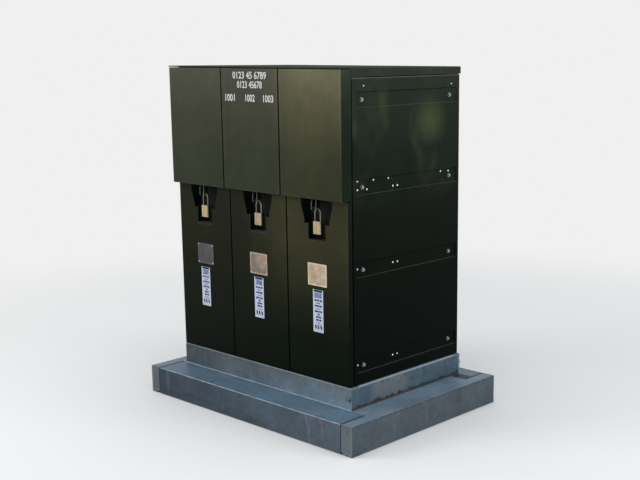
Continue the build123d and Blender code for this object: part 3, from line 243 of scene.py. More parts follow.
def zinc_end(name, side):
    """A side member: pale corner returns, a dirty inner fold, a cream patch on its upstand, and a
    painted highlight along the upstand's top edge and corners.
    """
    made, tree, shader, tone, up, upright, height = zinc_base(name, zinc_side_shades)
    back = along(tree, "Y")
    reach = along(tree, "X")
    cap = calculate(tree, "MULTIPLY", calculate(tree, "MAXIMUM", facing(tree, (0, -1, 0), 0.6, 0.9),
                                                facing(tree, (0, 1, 0), 0.6, 0.9)),
                    ramp(tree, height, ledge_height + 0.001, ledge_height))
    cap_foot, cap_head = cap_shades[side]
    returned = mix_tones(tree, ramp(tree, height, 0.080, 0.126), cap_foot, cap_head)
    specks = ramp(tree, noise(tree, 0.009, detail=3.0), 0.60, 0.68, 0.0, 0.8)
    returned = mix_tones(tree, specks, returned, zinc_rust)
    # On the end faces: paler near the foot, and a painted highlight along the outer corner.
    bright = calculate(tree, "MAXIMUM", ramp(tree, height, 0.022, 0.012),
                       ramp(tree, calculate(tree, "ABSOLUTE", reach), side_edge - 0.012, side_edge - 0.006))
    returned = mix_tones(tree, calculate(tree, "MULTIPLY", bright, 0.6), returned, zinc_pale)
    tone = mix_tones(tree, cap, tone, returned)
    near_return = calculate(tree, "MULTIPLY", up, ramp(tree, calculate(tree, "ABSOLUTE", back), 0.33, 0.40))
    tone = mix_tones(tree, calculate(tree, "MULTIPLY", near_return, 0.25), tone, zinc_pale)
    open_end = ramp(tree, calculate(tree, "ABSOLUTE", back), 0.332, 0.336)
    # Painted shade: a dark strip on the ledge by the gap at each corner.
    slit_shade = calculate(tree, "MULTIPLY", ramp(tree, calculate(tree, "ABSOLUTE", reach), 0.6045, 0.6015), up)
    tone = mix_tones(tree, calculate(tree, "MULTIPLY", slit_shade, open_end), tone, zinc_slit_shade)
    outer = calculate(tree, "MAXIMUM", calculate(tree, "MULTIPLY", stripe(tree, reach, side * side_edge, 0.005), up),
                      calculate(tree, "MULTIPLY", stripe(tree, height, ledge_height - 0.002, 0.005),
                                facing(tree, (side, 0, 0), 0.6, 0.9)))
    broken = ramp(tree, noise(tree, 0.020, detail=5.0), 0.36, 0.56, 0.25, 0.85)
    below = calculate(tree, "MULTIPLY", outer, ramp(tree, height, ledge_height + 0.0008, ledge_height))
    tone = mix_tones(tree, calculate(tree, "MULTIPLY", below, broken), tone, zinc_dark)
    above = calculate(tree, "SUBTRACT", height, ledge_height)
    wall = calculate(tree, "MULTIPLY", facing(tree, (side, 0, 0), 0.6, 0.9), ramp(tree, above, -0.001, 0.0))
    cream = calculate(tree, "MULTIPLY", bloom(tree, (side * side_wall, -0.090, 0.175), 0.17), wall)
    cream = calculate(tree, "MULTIPLY", cream, ramp(tree, noise(tree, 0.045, detail=5.0), 0.36, 0.50))
    tone = mix_tones(tree, ramp(tree, cream, 0.05, 0.45, 0.0, 0.85), tone, zinc_cream)
    stains = ramp(tree, noise(tree, 0.026, (1, 1, 0.8), detail=6.0, rough=0.7), 0.50, 0.60)
    stains = calculate(tree, "MULTIPLY", stains, ramp(tree, above, 0.040, 0.085, 0.10, 0.75))
    stains = calculate(tree, "MULTIPLY", stains, ramp(tree, back, -0.06, 0.04, 0.3, 1.0))
    tone = mix_tones(tree, calculate(tree, "MULTIPLY", stains, wall), tone, zinc_dark)
    ragged = ramp(tree, noise(tree, 0.022, detail=5.0), 0.30, 0.70, -0.002, 0.016)
    dirt = calculate(tree, "MULTIPLY", ramp(tree, calculate(tree, "SUBTRACT", above, ragged), 0.003, 0.009,
                                            1.0, 0.0), wall)
    flat_dirt = calculate(tree, "MULTIPLY", stripe(tree, reach, side * side_wall, 0.005), up)
    dirt_tone = mix_tones(tree, ramp(tree, back, -0.05, 0.10), zinc_rust, zinc_dark)
    tone = mix_tones(tree, calculate(tree, "MAXIMUM", dirt, flat_dirt), tone, dirt_tone)
    # Painted highlight along the upstand's top edge and its front and rear corners.
    edge = ramp(tree, height, cabinet_foot - 0.0085, cabinet_foot - 0.0045)
    corner = calculate(tree, "MULTIPLY", calculate(tree, "MAXIMUM", stripe(tree, back, front_wall, 0.005),
                                                   stripe(tree, back, rear_wall, 0.010)), wall)
    tone = mix_tones(tree, calculate(tree, "MULTIPLY", calculate(tree, "MAXIMUM", edge, corner), 0.8), tone,
                     zinc_run_and_highlight)
    tree.links.new(tone, shader.inputs["Base Color"])
    return made


assign(zinc_long("zinc_front", front_edge, front_wall), "plinth_front")
assign(zinc_long("zinc_rear", -front_edge, rear_wall), "plinth_rear")
assign(zinc_end("zinc_right", 1), "plinth_right")
assign(zinc_end("zinc_left", -1), "plinth_left")

# Fasteners: bright zinc plated bolts, dulled a little by the weather. The plinth's own bolts are
# hot dipped and as grey as the sheet round them.
plated_tone = (0.80, 0.80, 0.77)
bolt_tone = (0.30, 0.31, 0.31)
dipped_tone = (0.13, 0.16, 0.18)


def plated_finish(name, tone, rough, metal=0.6):
    made, tree, shader = new_finish(name)
    fine = noise(tree, 0.006)
    dull = tuple(part * 0.6 for part in tone)
    tree.links.new(mix_tones(tree, ramp(tree, fine, 0.45, 0.70, 0.0, 0.6), tone, dull), shader.inputs["Base Color"])
    tree.links.new(ramp(tree, fine, 0.3, 0.7, rough, rough + 0.2), shader.inputs["Roughness"])
    shader.inputs["Metallic"].default_value = metal
    relief(tree, shader, fine, 0.15, 0.0003)
    return made


plated = plated_finish("plated_steel", plated_tone, 0.30)
assign(plated_finish("bolt_steel", bolt_tone, 0.22, 0.9), "panel_bolts")
assign(plated_finish("dipped_steel", dipped_tone, 0.5, 0.3), "plinth_bolts")

# Frame: bent angles, channels and rails behind the skin, in the same dark green powder coat.
# The coat has a fine orange peel, slow changes of tone, faint rain marks and dust on what faces up.
# It is painted darker towards the foot, as painted shade, and lighter on the posts' sides, as painted light.
frame_coat = ((0.0030, 0.0050, 0.0028), (0.0110, 0.0150, 0.0100), 0.25, 1.45, 1.5)
paint_dust = (0.150, 0.162, 0.135)
paint_speck = (0.060, 0.064, 0.050)
way_pitch = 0.364
first_joint = -0.2125
front_middle = -0.0305
lug_grey = (0.120, 0.128, 0.118)
lug_shade = (0.010, 0.012, 0.010)


def coat_painted_by_height(tree, low, high, foot, head, curve):
    """A coat painted darker at its foot and lighter at its head, from low at foot to high at head, as
    painted shade and reflection.
    """
    rise = calculate(tree, "POWER", ramp(tree, along(tree, "Z"), foot, head), curve)
    return mix_tones(tree, rise, low, high)


def paint_finish(name, coat, reflection_coat=None, across=(0.0, 1.0), flank_shading=None, gloss=0.05, rough=0.38, dust=0.2,
                 edges=None, bare=None):
    """Powder coat, painted darker at its foot and lighter at its head as painted shade and reflection,
    and darker on what faces down as painted shade. The coat that it turns to across a span of X is
    a painted reflection, and the coat on what faces sideways is painted light and shade. edges is
    the height of a folded foot edge; with it, folded edges there and beside the joints between ways
    get a painted highlight, and the sheet by the joints a painted shade. bare is the axis and the
    two places between which it thins to the lugs' grey."""
    made, tree, shader = new_finish(name)
    tone = coat_painted_by_height(tree, *coat)
    if reflection_coat:
        # Painted reflection: a coat that it turns to across a span of X.
        turned = ramp(tree, along(tree, "X"), *across, curve="SMOOTHSTEP")
        tone = mix_tones(tree, turned, tone, coat_painted_by_height(tree, *reflection_coat))
    if flank_shading:
        # Painted light and shade: what faces sideways takes a coat of its own.
        sideways = calculate(tree, "MAXIMUM", facing(tree, (1, 0, 0), 0.5, 0.9), facing(tree, (-1, 0, 0), 0.5, 0.9))
        tone = mix_tones(tree, sideways, tone, coat_painted_by_height(tree, *flank_shading))
    clouds = noise(tree, 0.30, detail=3.0)
    patches = noise(tree, 0.060, detail=4.0)
    runs = noise(tree, 0.040, (1, 1, 0.08), detail=5.0)
    tone = scale_tone(tree, tone, ramp(tree, clouds, 0.35, 0.65, 0.90, 1.10))
    tone = scale_tone(tree, tone, ramp(tree, patches, 0.35, 0.65, 0.93, 1.07))
    tone = scale_tone(tree, tone, ramp(tree, runs, 0.56, 0.76, 1.0, 1.20))
    tone = mix_tones(tree, ramp(tree, noise(tree, 0.007, detail=2.0), 0.74, 0.79, 0.0, 0.35), tone, paint_speck)
    if edges:
        to_joint = calculate(tree, "PINGPONG", calculate(tree, "SUBTRACT", along(tree, "X"), first_joint),
                             way_pitch / 2)
        beside = calculate(tree, "ABSOLUTE", calculate(tree, "SUBTRACT", along(tree, "X"), front_middle))
        # Painted shade on the sheet beside each joint between ways.
        painted_joint_shade = calculate(tree, "MULTIPLY", ramp(tree, to_joint, 0.0062, 0.0040), ramp(tree, beside, 0.52, 0.51))
        tone = scale_tone(tree, tone, ramp(tree, painted_joint_shade, 0.0, 1.0, 1.0, 0.35))
        # Painted highlight along the folded edges beside the joints and along the foot, broken up in patches.
        patchy_mask = calculate(tree, "MAXIMUM", stripe(tree, to_joint, 0.0080, 0.0025),
                         stripe(tree, along(tree, "Z"), edges + 0.002, 0.004))
        patchy_mask = calculate(tree, "MULTIPLY", patchy_mask, ramp(tree, patches, 0.35, 0.6, 0.2, 1.0))
        tone = scale_tone(tree, tone, ramp(tree, patchy_mask, 0.0, 1.0, 1.0, 1.35))
    if bare:
        lug_tone = mix_tones(tree, facing(tree, (0, -1, 0), 0.4, 0.8), lug_shade, lug_grey)
        tone = mix_tones(tree, ramp(tree, along(tree, bare[0]), bare[1], bare[2]), tone, lug_tone)
    settled = calculate(tree, "MULTIPLY", facing(tree, (0, 0, 1), 0.35, 0.8),
                        ramp(tree, patches, 0.3, 0.65, dust * 0.5, dust))
    tone = mix_tones(tree, settled, tone, paint_dust)
    # Painted shade: what faces down is darker.
    tone = scale_tone(tree, tone, ramp(tree, facing(tree, (0, 0, -1), 0.35, 0.8), 0.0, 1.0, 1.0, 0.35))
    tree.links.new(tone, shader.inputs["Base Color"])
    tree.links.new(ramp(tree, clouds, 0.3, 0.7, rough, rough + 0.10), shader.inputs["Roughness"])
    shader.inputs["Specular IOR Level"].default_value = gloss
    peel = calculate(tree, "MULTIPLY", noise(tree, 0.0035, detail=2.0), 0.06)
    relief(tree, shader, calculate(tree, "ADD", peel, noise(tree, 0.22, detail=1.0)), 0.35, 0.0030)
    return made, tree, shader


# Painted light: the posts' sides take a lighter coat.
post_flank_shading = ((0.0120, 0.0160, 0.0110), (0.0700, 0.1000, 0.0620), 0.95, 1.52, 1.6)
assign(paint_finish("frame_green", frame_coat, flank_shading=post_flank_shading)[0], "front_post_left", "front_post_right",
       "rear_post_left", "rear_post_right", "mid_posts", "front_sill", "hinge_rail", "side_rails", "way_dividers", "hinge_pins")
assign(paint_finish("rail_green", frame_coat, bare=("Y", -0.3005, -0.3035))[0], "cross_rail")

# End, back and roof sheets: pressed steel trays with swages for stiffness, bolted to the posts.
# Their coat is painted darker low down and lighter high up, as painted shade and reflection.
panel_coat = ((0.0008, 0.0030, 0.0016), (0.0240, 0.0330, 0.0225), 0.25, 1.52, 2.7)
roof_coat = ((0.0300, 0.0340, 0.0250), (0.0380, 0.0430, 0.0320), 1.40, 1.54, 1.0)
reflection_olive = (0.0500, 0.0640, 0.0300)


def panel_finish(name):
    """The sheets' coat, with soft olive patches high up as painted reflection, and a painted
    highlight along the top bend under the roof's edge.
    """
    made, tree, shader = paint_finish(name, panel_coat, gloss=0.03)
    tone = shader.inputs["Base Color"].links[0].from_socket
    # Painted reflection: olive patches high up, and a lighter patch high on the right end's rear half.
    patches = ramp(tree, noise(tree, 0.15, (1, 1, 0.6), detail=2.0), 0.50, 0.72, curve="SMOOTHSTEP")
    high = ramp(tree, along(tree, "Z"), 0.95, 1.30, 0.0, 0.55)
    painted_reflection = calculate(tree, "MAXIMUM", calculate(tree, "MULTIPLY", patches, high),
                      calculate(tree, "MULTIPLY", bloom(tree, (panel_right, 0.180, 1.300), 0.14), 1.0))
    tone = mix_tones(tree, painted_reflection, tone, reflection_olive)
    # Painted highlight along the top bend of the sheets.
    tone = mix_tones(tree, stripe(tree, along(tree, "Z"), panel_top, 0.005), tone, (0.085, 0.095, 0.080))
    tree.links.new(tone, shader.inputs["Base Color"])
    return made


panel_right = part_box("end_panel_right")[1].x
panel_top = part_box("end_panel_right")[1].z
assign(panel_finish("panel_green"), "end_panel_left", "end_panel_right", "back_panel")
assign(paint_finish("roof_green", roof_coat, gloss=0.0, rough=0.6, dust=0.1)[0], "roof")

# Upper doors: flat folded trays on a pin line under the roof's edge. They stand proud. Their coat
# is painted lighter than the covers' and lighter towards the top, turning warm olive towards the
# right, as painted reflection, and darker on their sides, as painted shade.
door_coat = ((0.0250, 0.0290, 0.0165), (0.0640, 0.0640, 0.0450), 1.00, 1.52, 1.9)
door_reflection_coat = ((0.0260, 0.0300, 0.0120), (0.1450, 0.1330, 0.0740), 1.00, 1.52, 2.2)
door_flank_shading = ((0.0035, 0.0105, 0.0040), (0.0300, 0.0440, 0.0240), 1.00, 1.52, 4.5)
door_foot = 1.0
door_green = paint_finish("door_green", door_coat, door_reflection_coat, (0.06, 0.30), door_flank_shading, 0.07, 0.36,
                          edges=door_foot, bare=("Z", door_foot - 0.0015, door_foot - 0.0025))
assign(door_green[0], *[f"upper_door_{way}" for way in ways])

# Lower covers: folded trays that hook over the cross rail, with a welded lock pocket behind the
# notch of each. Their coat is painted darkest at the foot, as painted shade, and warm olive high up
# towards the right, as painted reflection.
cover_coat = ((0.0004, 0.0026, 0.0004), (0.0125, 0.0138, 0.0056), 0.25, 0.90, 1.5)
cover_reflection_coat = ((0.0004, 0.0032, 0.0004), (0.0345, 0.0345, 0.0150), 0.36, 0.80, 1.5)
pocket_coat = ((0.0130, 0.0150, 0.0145), (0.0130, 0.0150, 0.0145), 0.80, 1.00, 1.0)
weld_tone = (0.036, 0.043, 0.040)
weld_height = 0.8185
weld_half = 0.054
cover_green, tree, shader = paint_finish("cover_green", cover_coat, cover_reflection_coat, (-0.16, 0.17),
                                         panel_coat, 0.045, 0.38, edges=cabinet_foot)
tone = shader.inputs["Base Color"].links[0].from_socket
to_joint = calculate(tree, "PINGPONG", calculate(tree, "SUBTRACT", along(tree, "X"), first_joint), way_pitch / 2)
welded = calculate(tree, "MULTIPLY", stripe(tree, along(tree, "Z"), weld_height, 0.006),
                   ramp(tree, to_joint, way_pitch / 2 - weld_half - 0.003, way_pitch / 2 - weld_half + 0.003))
tree.links.new(mix_tones(tree, calculate(tree, "MULTIPLY", welded, ramp(tree, noise(tree, 0.02), 0.3, 0.7, 0.1, 0.7)), tone, weld_tone), shader.inputs["Base Color"])
assign(cover_green, *[f"cable_cover_{way}" for way in ways])
assign(paint_finish("pocket_green", pocket_coat, dust=0.6)[0], *[f"lock_pocket_{way}" for way in ways])

# Identity plates: square plates of 1 mm metal with a raised rim, riveted at the corners of each
# lower cover. They carry nothing here but their own grain, marks and stains, and a painted
# highlight on the rim.
plate_wide = 0.111
plate_tall = 0.095
plate_thick = 0.0014
plate_low = 0.4065
plate_shifts = (-0.0040, -0.0023, -0.0010)
rim_wide = 0.0055
rim_deep = 0.0005
plate_rivet_inset = 0.0075
plate_rivet_radius = 0.0024
plate_fields = (((0.066, 0.058, 0.060), (0.088, 0.076, 0.076)), ((0.200, 0.160, 0.138), (0.370, 0.265, 0.195)),
                ((0.440, 0.350, 0.245), (0.520, 0.415, 0.300)))
plate_rim_highlights = ((0.086, 0.078, 0.082), (0.400, 0.330, 0.262), (0.640, 0.550, 0.420))


def way_middle(way):
    low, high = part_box(f"upper_door_{way}")
    return (low.x + high.x) / 2


def select_only(piece):
    bpy.ops.object.select_all(action="DESELECT")
    piece.select_set(True)
    bpy.context.view_layer.objects.active = piece


def edit_faces(piece, wanted):
    """Go into edit mode on a piece with only the wanted faces selected."""
    select_only(piece)
    bpy.ops.object.mode_set(mode="EDIT")
    bpy.ops.mesh.select_mode(type="FACE")
    bpy.ops.mesh.select_all(action="DESELECT")
    bpy.ops.object.mode_set(mode="OBJECT")
    for face in piece.data.polygons:
        face.select = wanted(face)
    bpy.ops.object.mode_set(mode="EDIT")


def add_block(name, low, high):
    """A block between two corners, with its place in its mesh."""
    middle = [(a + b) / 2 for a, b in zip(low, high)]
    bpy.ops.object.select_all(action="DESELECT")
    bpy.ops.mesh.primitive_cube_add(size=1, location=middle, scale=[b - a for a, b in zip(low, high)])
    piece = bpy.context.object
    piece.name = name
    bpy.ops.object.transform_apply(location=True, rotation=True, scale=True)
    return piece


def soften(piece, width, segments=2):
    """Round a piece's edges."""
    select_only(piece)
    modifier = piece.modifiers.new("edge", "BEVEL")
    modifier.width = width
    modifier.segments = segments
    modifier.limit_method = "ANGLE"
    bpy.ops.object.modifier_apply(modifier=modifier.name)


def join(name, pieces):
    """Join pieces to one mesh."""
    bpy.ops.object.select_all(action="DESELECT")
    for piece in pieces:
        piece.select_set(True)
    bpy.context.view_layer.objects.active = pieces[0]
    bpy.ops.object.join()
    pieces[0].name = name
    return pieces[0]


def dress(piece, finish, body):
    """Give a finished piece its finish and its body."""
    piece.data.materials.clear()
    piece.data.materials.append(finish)
    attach(piece, body)


def rivet_head(place, outward, radius, rise):
    """A low domed head, seated at a place on a surface that faces outward."""
    bpy.ops.object.select_all(action="DESELECT")
    bpy.ops.mesh.primitive_uv_sphere_add(segments=16, ring_count=8, radius=radius, location=(0, 0, 0))
    head = bpy.context.object
    bpy.ops.object.mode_set(mode="EDIT")
    bpy.ops.mesh.select_all(action="SELECT")
    bpy.ops.mesh.bisect(plane_co=(0, 0, 0), plane_no=(0, 0, 1), clear_inner=True, use_fill=True)
    bpy.ops.object.mode_set(mode="OBJECT")
    turn = Vector((0, 0, 1)).rotation_difference(Vector(outward)).to_matrix().to_4x4()
    head.data.transform(Matrix.Translation(place) @ turn @ Matrix.Diagonal((1, 1, rise / radius, 1)))
    bpy.ops.object.shade_smooth_by_angle(angle=math.radians(50))
    return head


def plate_finish(name, field, warm, rim, centre):
    """Plate metal: a stained field that is warmer at its upper right, and a raised rim painted lighter
    as a painted highlight.
    """
    made, tree, shader = new_finish(name)
    stain = noise(tree, 0.030, detail=5.0)
    marks = noise(tree, 0.007, (1, 1, 1.3), detail=3.0)
    grain = noise(tree, 0.003, (0.12, 1, 1), detail=4.0)
    corner = (centre[0] + 0.030, centre[1], centre[2] + 0.028)
    tone = mix_tones(tree, bloom(tree, corner, 0.075), field, warm)
    tone = scale_tone(tree, tone, ramp(tree, stain, 0.35, 0.65, 1.18, 0.82))
    tone = scale_tone(tree, tone, ramp(tree, marks, 0.56, 0.66, 1.0, 0.66))
    tone = scale_tone(tree, tone, ramp(tree, grain, 0.30, 0.70, 0.92, 1.08))
    half_wide = plate_wide / 2 - rim_wide
    half_tall = plate_tall / 2 - rim_wide
    across = calculate(tree, "ABSOLUTE", calculate(tree, "SUBTRACT", along(tree, "X"), centre[0]))
    rise = calculate(tree, "ABSOLUTE", calculate(tree, "SUBTRACT", along(tree, "Z"), centre[2]))
    # Painted highlight on the raised rim, dimmed where the plate is stained.
    rim_highlight_mask = calculate(tree, "MAXIMUM", ramp(tree, across, half_wide - 0.001, half_wide + 0.0005),
                       ramp(tree, rise, half_tall - 0.001, half_tall + 0.0005))
    rim_highlight_mask = calculate(tree, "MULTIPLY", rim_highlight_mask, ramp(tree, stain, 0.30, 0.60, 1.0, 0.72))
    tone = mix_tones(tree, rim_highlight_mask, tone, rim)
    tree.links.new(tone, shader.inputs["Base Color"])
    tree.links.new(ramp(tree, stain, 0.3, 0.7, 0.38, 0.55), shader.inputs["Roughness"])
    shader.inputs["Metallic"].default_value = 0.25
    shader.inputs["Specular IOR Level"].default_value = 0.2
    relief(tree, shader, grain, 0.2, 0.0003)
    return made


for way, shift, (field, warm), rim in zip(ways, plate_shifts, plate_fields, plate_rim_highlights):
    middle = way_middle(way) + shift
    low = (middle - plate_wide / 2, front_wall - plate_thick, cabinet_foot + plate_low)
    high = (middle + plate_wide / 2, front_wall, cabinet_foot + plate_low + plate_tall)
    plate = add_block(f"identity_plate_{way}", low, high)
    edit_faces(plate, lambda face: face.normal.y < -0.9)
    bpy.ops.mesh.inset(thickness=rim_wide, depth=-rim_deep)
    bpy.ops.object.mode_set(mode="OBJECT")
    soften(plate, 0.0003)
    centre = [(a + b) / 2 for a, b in zip(low, high)]
    dress(plate, plate_finish(f"plate_metal_{way}", field, warm, rim, centre), "cabinet")
    heads = [rivet_head((x, low[1], z), (0, -1, 0), plate_rivet_radius, 0.0014)
             for x in (low[0] + plate_rivet_inset, high[0] - plate_rivet_inset)
             for z in (low[2] + plate_rivet_inset, high[2] - plate_rivet_inset)]
    dress(join(f"plate_rivets_{way}", heads), plated, "cabinet")

# Notice strips: tall laminated labels under the plates. Their print is plain: a blue heading
# band, rows of short bars, a pale picture block and three drops, with no words.
strip_wide = 0.060
strip_tall = 0.182
strip_places = ((-0.0090, 0.2085), (-0.0045, 0.2110), (0.0010, 0.2085))
strip_thick = 0.0006
print_thick = 0.00025
bar_tall = 0.0074
film_white = (0.500, 0.555, 0.680)
ink_navy = (0.012, 0.020, 0.065)
ink_blue = (0.120, 0.145, 0.290)
ink_pale = (0.270, 0.320, 0.470)
bar_rows = ((0.750, ((-0.0155, 0.0130), (0.0000, 0.0120), (0.0160, 0.0130))),
            (0.620, ((-0.0165, 0.0080), (-0.0030, 0.0150), (0.0145, 0.0150))),
            (0.490, ((-0.0115, 0.0180), (0.0050, 0.0100), (0.0175, 0.0100))),
            (0.422, ((0.0020, 0.0110),)), (0.358, ((-0.0050, 0.0150), (0.0105, 0.0120))),
            (0.288, ((-0.0050, 0.0160), (0.0120, 0.0120))))
faint_rows = ((0.685, ((-0.0065, 0.0120), (0.0070, 0.0110))), (0.555, ((-0.0060, 0.0120), (0.0090, 0.0130))))
drop_places = (-0.0155, 0.0000, 0.0165)
drop_wide = 0.0088
drop_tall = 0.0170


def ink_finish(name, tone, rough, worn_tone=None):
    """Film, vinyl or print ink, a little dirty, with patches of wear that show another tone."""
    made, tree, shader = new_finish(name)
    patchy_mask = noise(tree, 0.006, detail=3.0)
    dirt = noise(tree, 0.030, detail=5.0)
    mixed = mix_tones(tree, ramp(tree, dirt, 0.45, 0.70, 0.0, 0.22), tone, tuple(part * 0.6 for part in tone))
    if worn_tone:
        mixed = mix_tones(tree, ramp(tree, patchy_mask, 0.50, 0.56), mixed, worn_tone)
    tree.links.new(mixed, shader.inputs["Base Color"])
    tree.links.new(ramp(tree, patchy_mask, 0.3, 0.7, rough, rough + 0.15), shader.inputs["Roughness"])
    shader.inputs["Specular IOR Level"].default_value = 0.1
    relief(tree, shader, patchy_mask, 0.1, 0.0002)
    return made


film = ink_finish("strip_film", film_white, 0.35)
navy = ink_finish("navy_ink", ink_navy, 0.4)
blue = ink_finish("blue_ink", ink_blue, 0.4, ink_pale)
pale = ink_finish("pale_ink", ink_pale, 0.4, film_white)
for way, (shift, rise) in zip(ways, strip_places):
    middle = way_middle(way) + shift
    foot = cabinet_foot + rise
    film_face = front_wall - strip_thick
    strip = add_block(f"notice_strip_{way}", (middle - strip_wide / 2, film_face, foot),
                      (middle + strip_wide / 2, front_wall, foot + strip_tall))
    soften(strip, 0.0002)
    dress(strip, film, "cabinet")

    def print_block(shift, rise, wide, tall):
        """A printed bar on this strip, centred at a shift and a rise from its middle and foot."""
        x = middle + shift
        z = foot + rise
        bar = add_block("bar", (x - wide / 2, film_face - print_thick, z - tall / 2),
                        (x + wide / 2, film_face, z + tall / 2))
        soften(bar, 0.0008, 1)
        return bar

    bars = [print_block(shift, rise * strip_tall, wide, bar_tall) for rise, row in bar_rows for shift, wide in row]
    bars.append(print_block(0.0, 0.970 * strip_tall, 0.048, 0.0090))
    for shift in drop_places:
        drop = print_block(shift, 0.120 * strip_tall, drop_wide, drop_tall)
        lean = Matrix.Rotation(math.radians(-14), 4, "Y")
        seat = Matrix.Translation((middle + shift, 0, foot + 0.120 * strip_tall))
        drop.data.transform(seat @ lean @ seat.inverted())
        bars.append(drop)
    dress(join(f"notice_bars_{way}", bars), navy, "cabinet")
    faint = [print_block(shift, rise * strip_tall, wide, bar_tall * 0.8) for rise, row in faint_rows
             for shift, wide in row]
    faint.append(print_block(0.0, 0.870 * strip_tall, 0.042, 0.0230))
    dress(join(f"notice_heading_{way}", faint), blue, "cabinet")
    picture = [print_block(0.002, 0.212 * strip_tall, 0.030, 0.0110), print_block(0.0, 0.045 * strip_tall, 0.052, 0.0018)]
    dress(join(f"notice_picture_{way}", picture), pale, "cabinet")

# Door numbers: white vinyl figures on the middle door, here plain numbers in three rows.
figure_white = (0.68, 0.68, 0.66)
figure_tall = 0.0300
figure_thick = 0.0004
figure_bold = 0.012
door_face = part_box("upper_door_2")[0].y
figure_rows = (("0123 45 6789", 0.005, 1.267, 0.213), ("0123 45678", 0.005, 1.228, 0.158),
               ("1001", -0.122, 1.172, 0.062), ("1002", 0.008, 1.172, 0.060), ("1003", 0.122, 1.172, 0.062))
figures = []
for number, shift, rise, wide in figure_rows:
    bpy.ops.object.select_all(action="DESELECT")
    bpy.ops.object.text_add(location=(0, 0, 0))
    row = bpy.context.object
    row.data.body = number
    row.data.extrude = figure_thick / 2
    row.data.offset = figure_bold
    row.data.resolution_u = 3
    bpy.ops.object.convert(target="MESH")
    row = bpy.context.object
    corners = [vertex.co for vertex in row.data.vertices]
    low = [min(corner[k] for corner in corners) for k in (0, 1)]
    high = [max(corner[k] for corner in corners) for k in (0, 1)]
    fit = Matrix.Diagonal((wide / (high[0] - low[0]), figure_tall / (high[1] - low[1]), 1, 1)) @ Matrix.Translation(
        (-(low[0] + high[0]) / 2, -(low[1] + high[1]) / 2, 0))
    place = Matrix.Translation((way_middle("2") + shift, door_face - figure_thick / 2, cabinet_foot + rise))
    row.data.transform(place @ Matrix.Rotation(math.radians(90), 4, "X") @ fit)
    figures.append(row)
dress(join("door_figures", figures), ink_finish("white_vinyl", figure_white, 0.5), "door_2")

# Small screws along the end panels' swages, beside the bolts, and two rivets near the top.
# The left end has the same ones.
small_screws = ((96, 1230, 3.2), (652, 1223, 3.2), (59, 851, 4.2), (154, 850, 4.2), (245, 849, 4.2),
                (585, 848, 4.2), (638, 846, 4.2), (59, 816, 4.2), (115, 815, 4.2), (273, 814, 4.2),
                (302, 814, 4.2), (55, 492, 4.2), (272, 490, 4.2), (301, 490, 4.2), (52, 87, 4.2),
                (269, 86, 4.2), (298, 86, 4.2))
swage_levels = (84, 487, 826, 1176)
swage_half = 30
swage_depth = 0.004
millimetre = 0.001
for side, panel in ((-1, "end_panel_left"), (1, "end_panel_right")):
    low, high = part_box(panel)
    face = low.x if side < 0 else high.x
    heads = []
    for across, up, radius in small_screws:
        sunk = swage_depth if min(abs(up - level) for level in swage_levels) < swage_half else 0
        place = (face - side * sunk, front_wall + across * millimetre, cabinet_foot + up * millimetre)
        heads.append(rivet_head(place, (side, 0, 0), radius * millimetre, 0.6 * radius * millimetre))
    dress(join(f"{panel}_screws", heads), plated, "cabinet")

# Padlocks: a solid brass body with upright polishing marks, on a hardened steel shackle. What
# doesn't face the front is painted darker, as painted shade.
def brass_finish(name, tone, rough, side_shade=1.0):
    """Brass or copper. The last argument is the painted shade on what doesn't face the front, as a
    share of the metal's tone.
    """
    made, tree, shader = new_finish(name)
    cloud = noise(tree, 0.018, detail=4.0)
    streaks = noise(tree, 0.009, (1, 1, 0.06), detail=3.0)
    mixed = mix_tones(tree, ramp(tree, cloud, 0.40, 0.70, 0.0, 0.5), tone, tuple(part * 0.5 for part in tone))
    mixed = scale_tone(tree, mixed, ramp(tree, streaks, 0.35, 0.65, 0.72, 1.18))
    # Painted shade on what doesn't face the front.
    mixed = scale_tone(tree, mixed, ramp(tree, facing(tree, (0, -1, 0), 0.35, 0.85), 0.0, 1.0, side_shade, 1.0))
    tree.links.new(mixed, shader.inputs["Base Color"])
    tree.links.new(ramp(tree, cloud, 0.3, 0.7, rough, rough + 0.2), shader.inputs["Roughness"])
    shader.inputs["Metallic"].default_value = 0.7
    relief(tree, shader, streaks, 0.2, 0.0002)
    return made


assign(brass_finish("padlock_brass", (0.46, 0.36, 0.205), 0.32, 0.12), *[f"padlock_body_{way}" for way in ways])
assign(brass_finish("shackle_steel", (0.24, 0.21, 0.145), 0.25, 0.10), *[f"padlock_shackle_{way}" for way in ways])

# Switching gear behind the doors: enamelled sheet, turned steel, cast resin and bare copper.
def plain_coat(tone):
    """One tone, painted a tenth lighter at the head as painted light, for paint_finish."""
    return tone, tuple(part * 1.1 for part in tone), 0.2, 1.5, 1.0


enamel = paint_finish("grey_enamel", plain_coat((0.46, 0.47, 0.45)), gloss=0.3, rough=0.35, dust=0.1)[0]
assign(enamel, "mechanism_fascia", "drive_boxes")
assign(plated_finish("spindle_steel", (0.55, 0.55, 0.54), 0.22, 0.9), *[f"switch_spindle_{way}" for way in ways])
assign(paint_finish("selector_red", plain_coat((0.42, 0.035, 0.022)), gloss=0.4, rough=0.3, dust=0.1)[0],
       *[f"selector_{way}" for way in ways])
assign(paint_finish("button_green", plain_coat((0.02, 0.20, 0.05)), gloss=0.5, rough=0.25, dust=0.0)[0], "close_button")
assign(paint_finish("button_red", plain_coat((0.45, 0.025, 0.02)), gloss=0.5, rough=0.25, dust=0.0)[0], "trip_button")
assign(paint_finish("black_moulding", plain_coat((0.02, 0.02, 0.022)), gloss=0.4, rough=0.4, dust=0.0)[0],
       "voltage_indicators")
assign(paint_finish("pointer_black", plain_coat((0.01, 0.01, 0.01)), gloss=0.4, rough=0.4, dust=0.0)[0], "gauge_pointer")
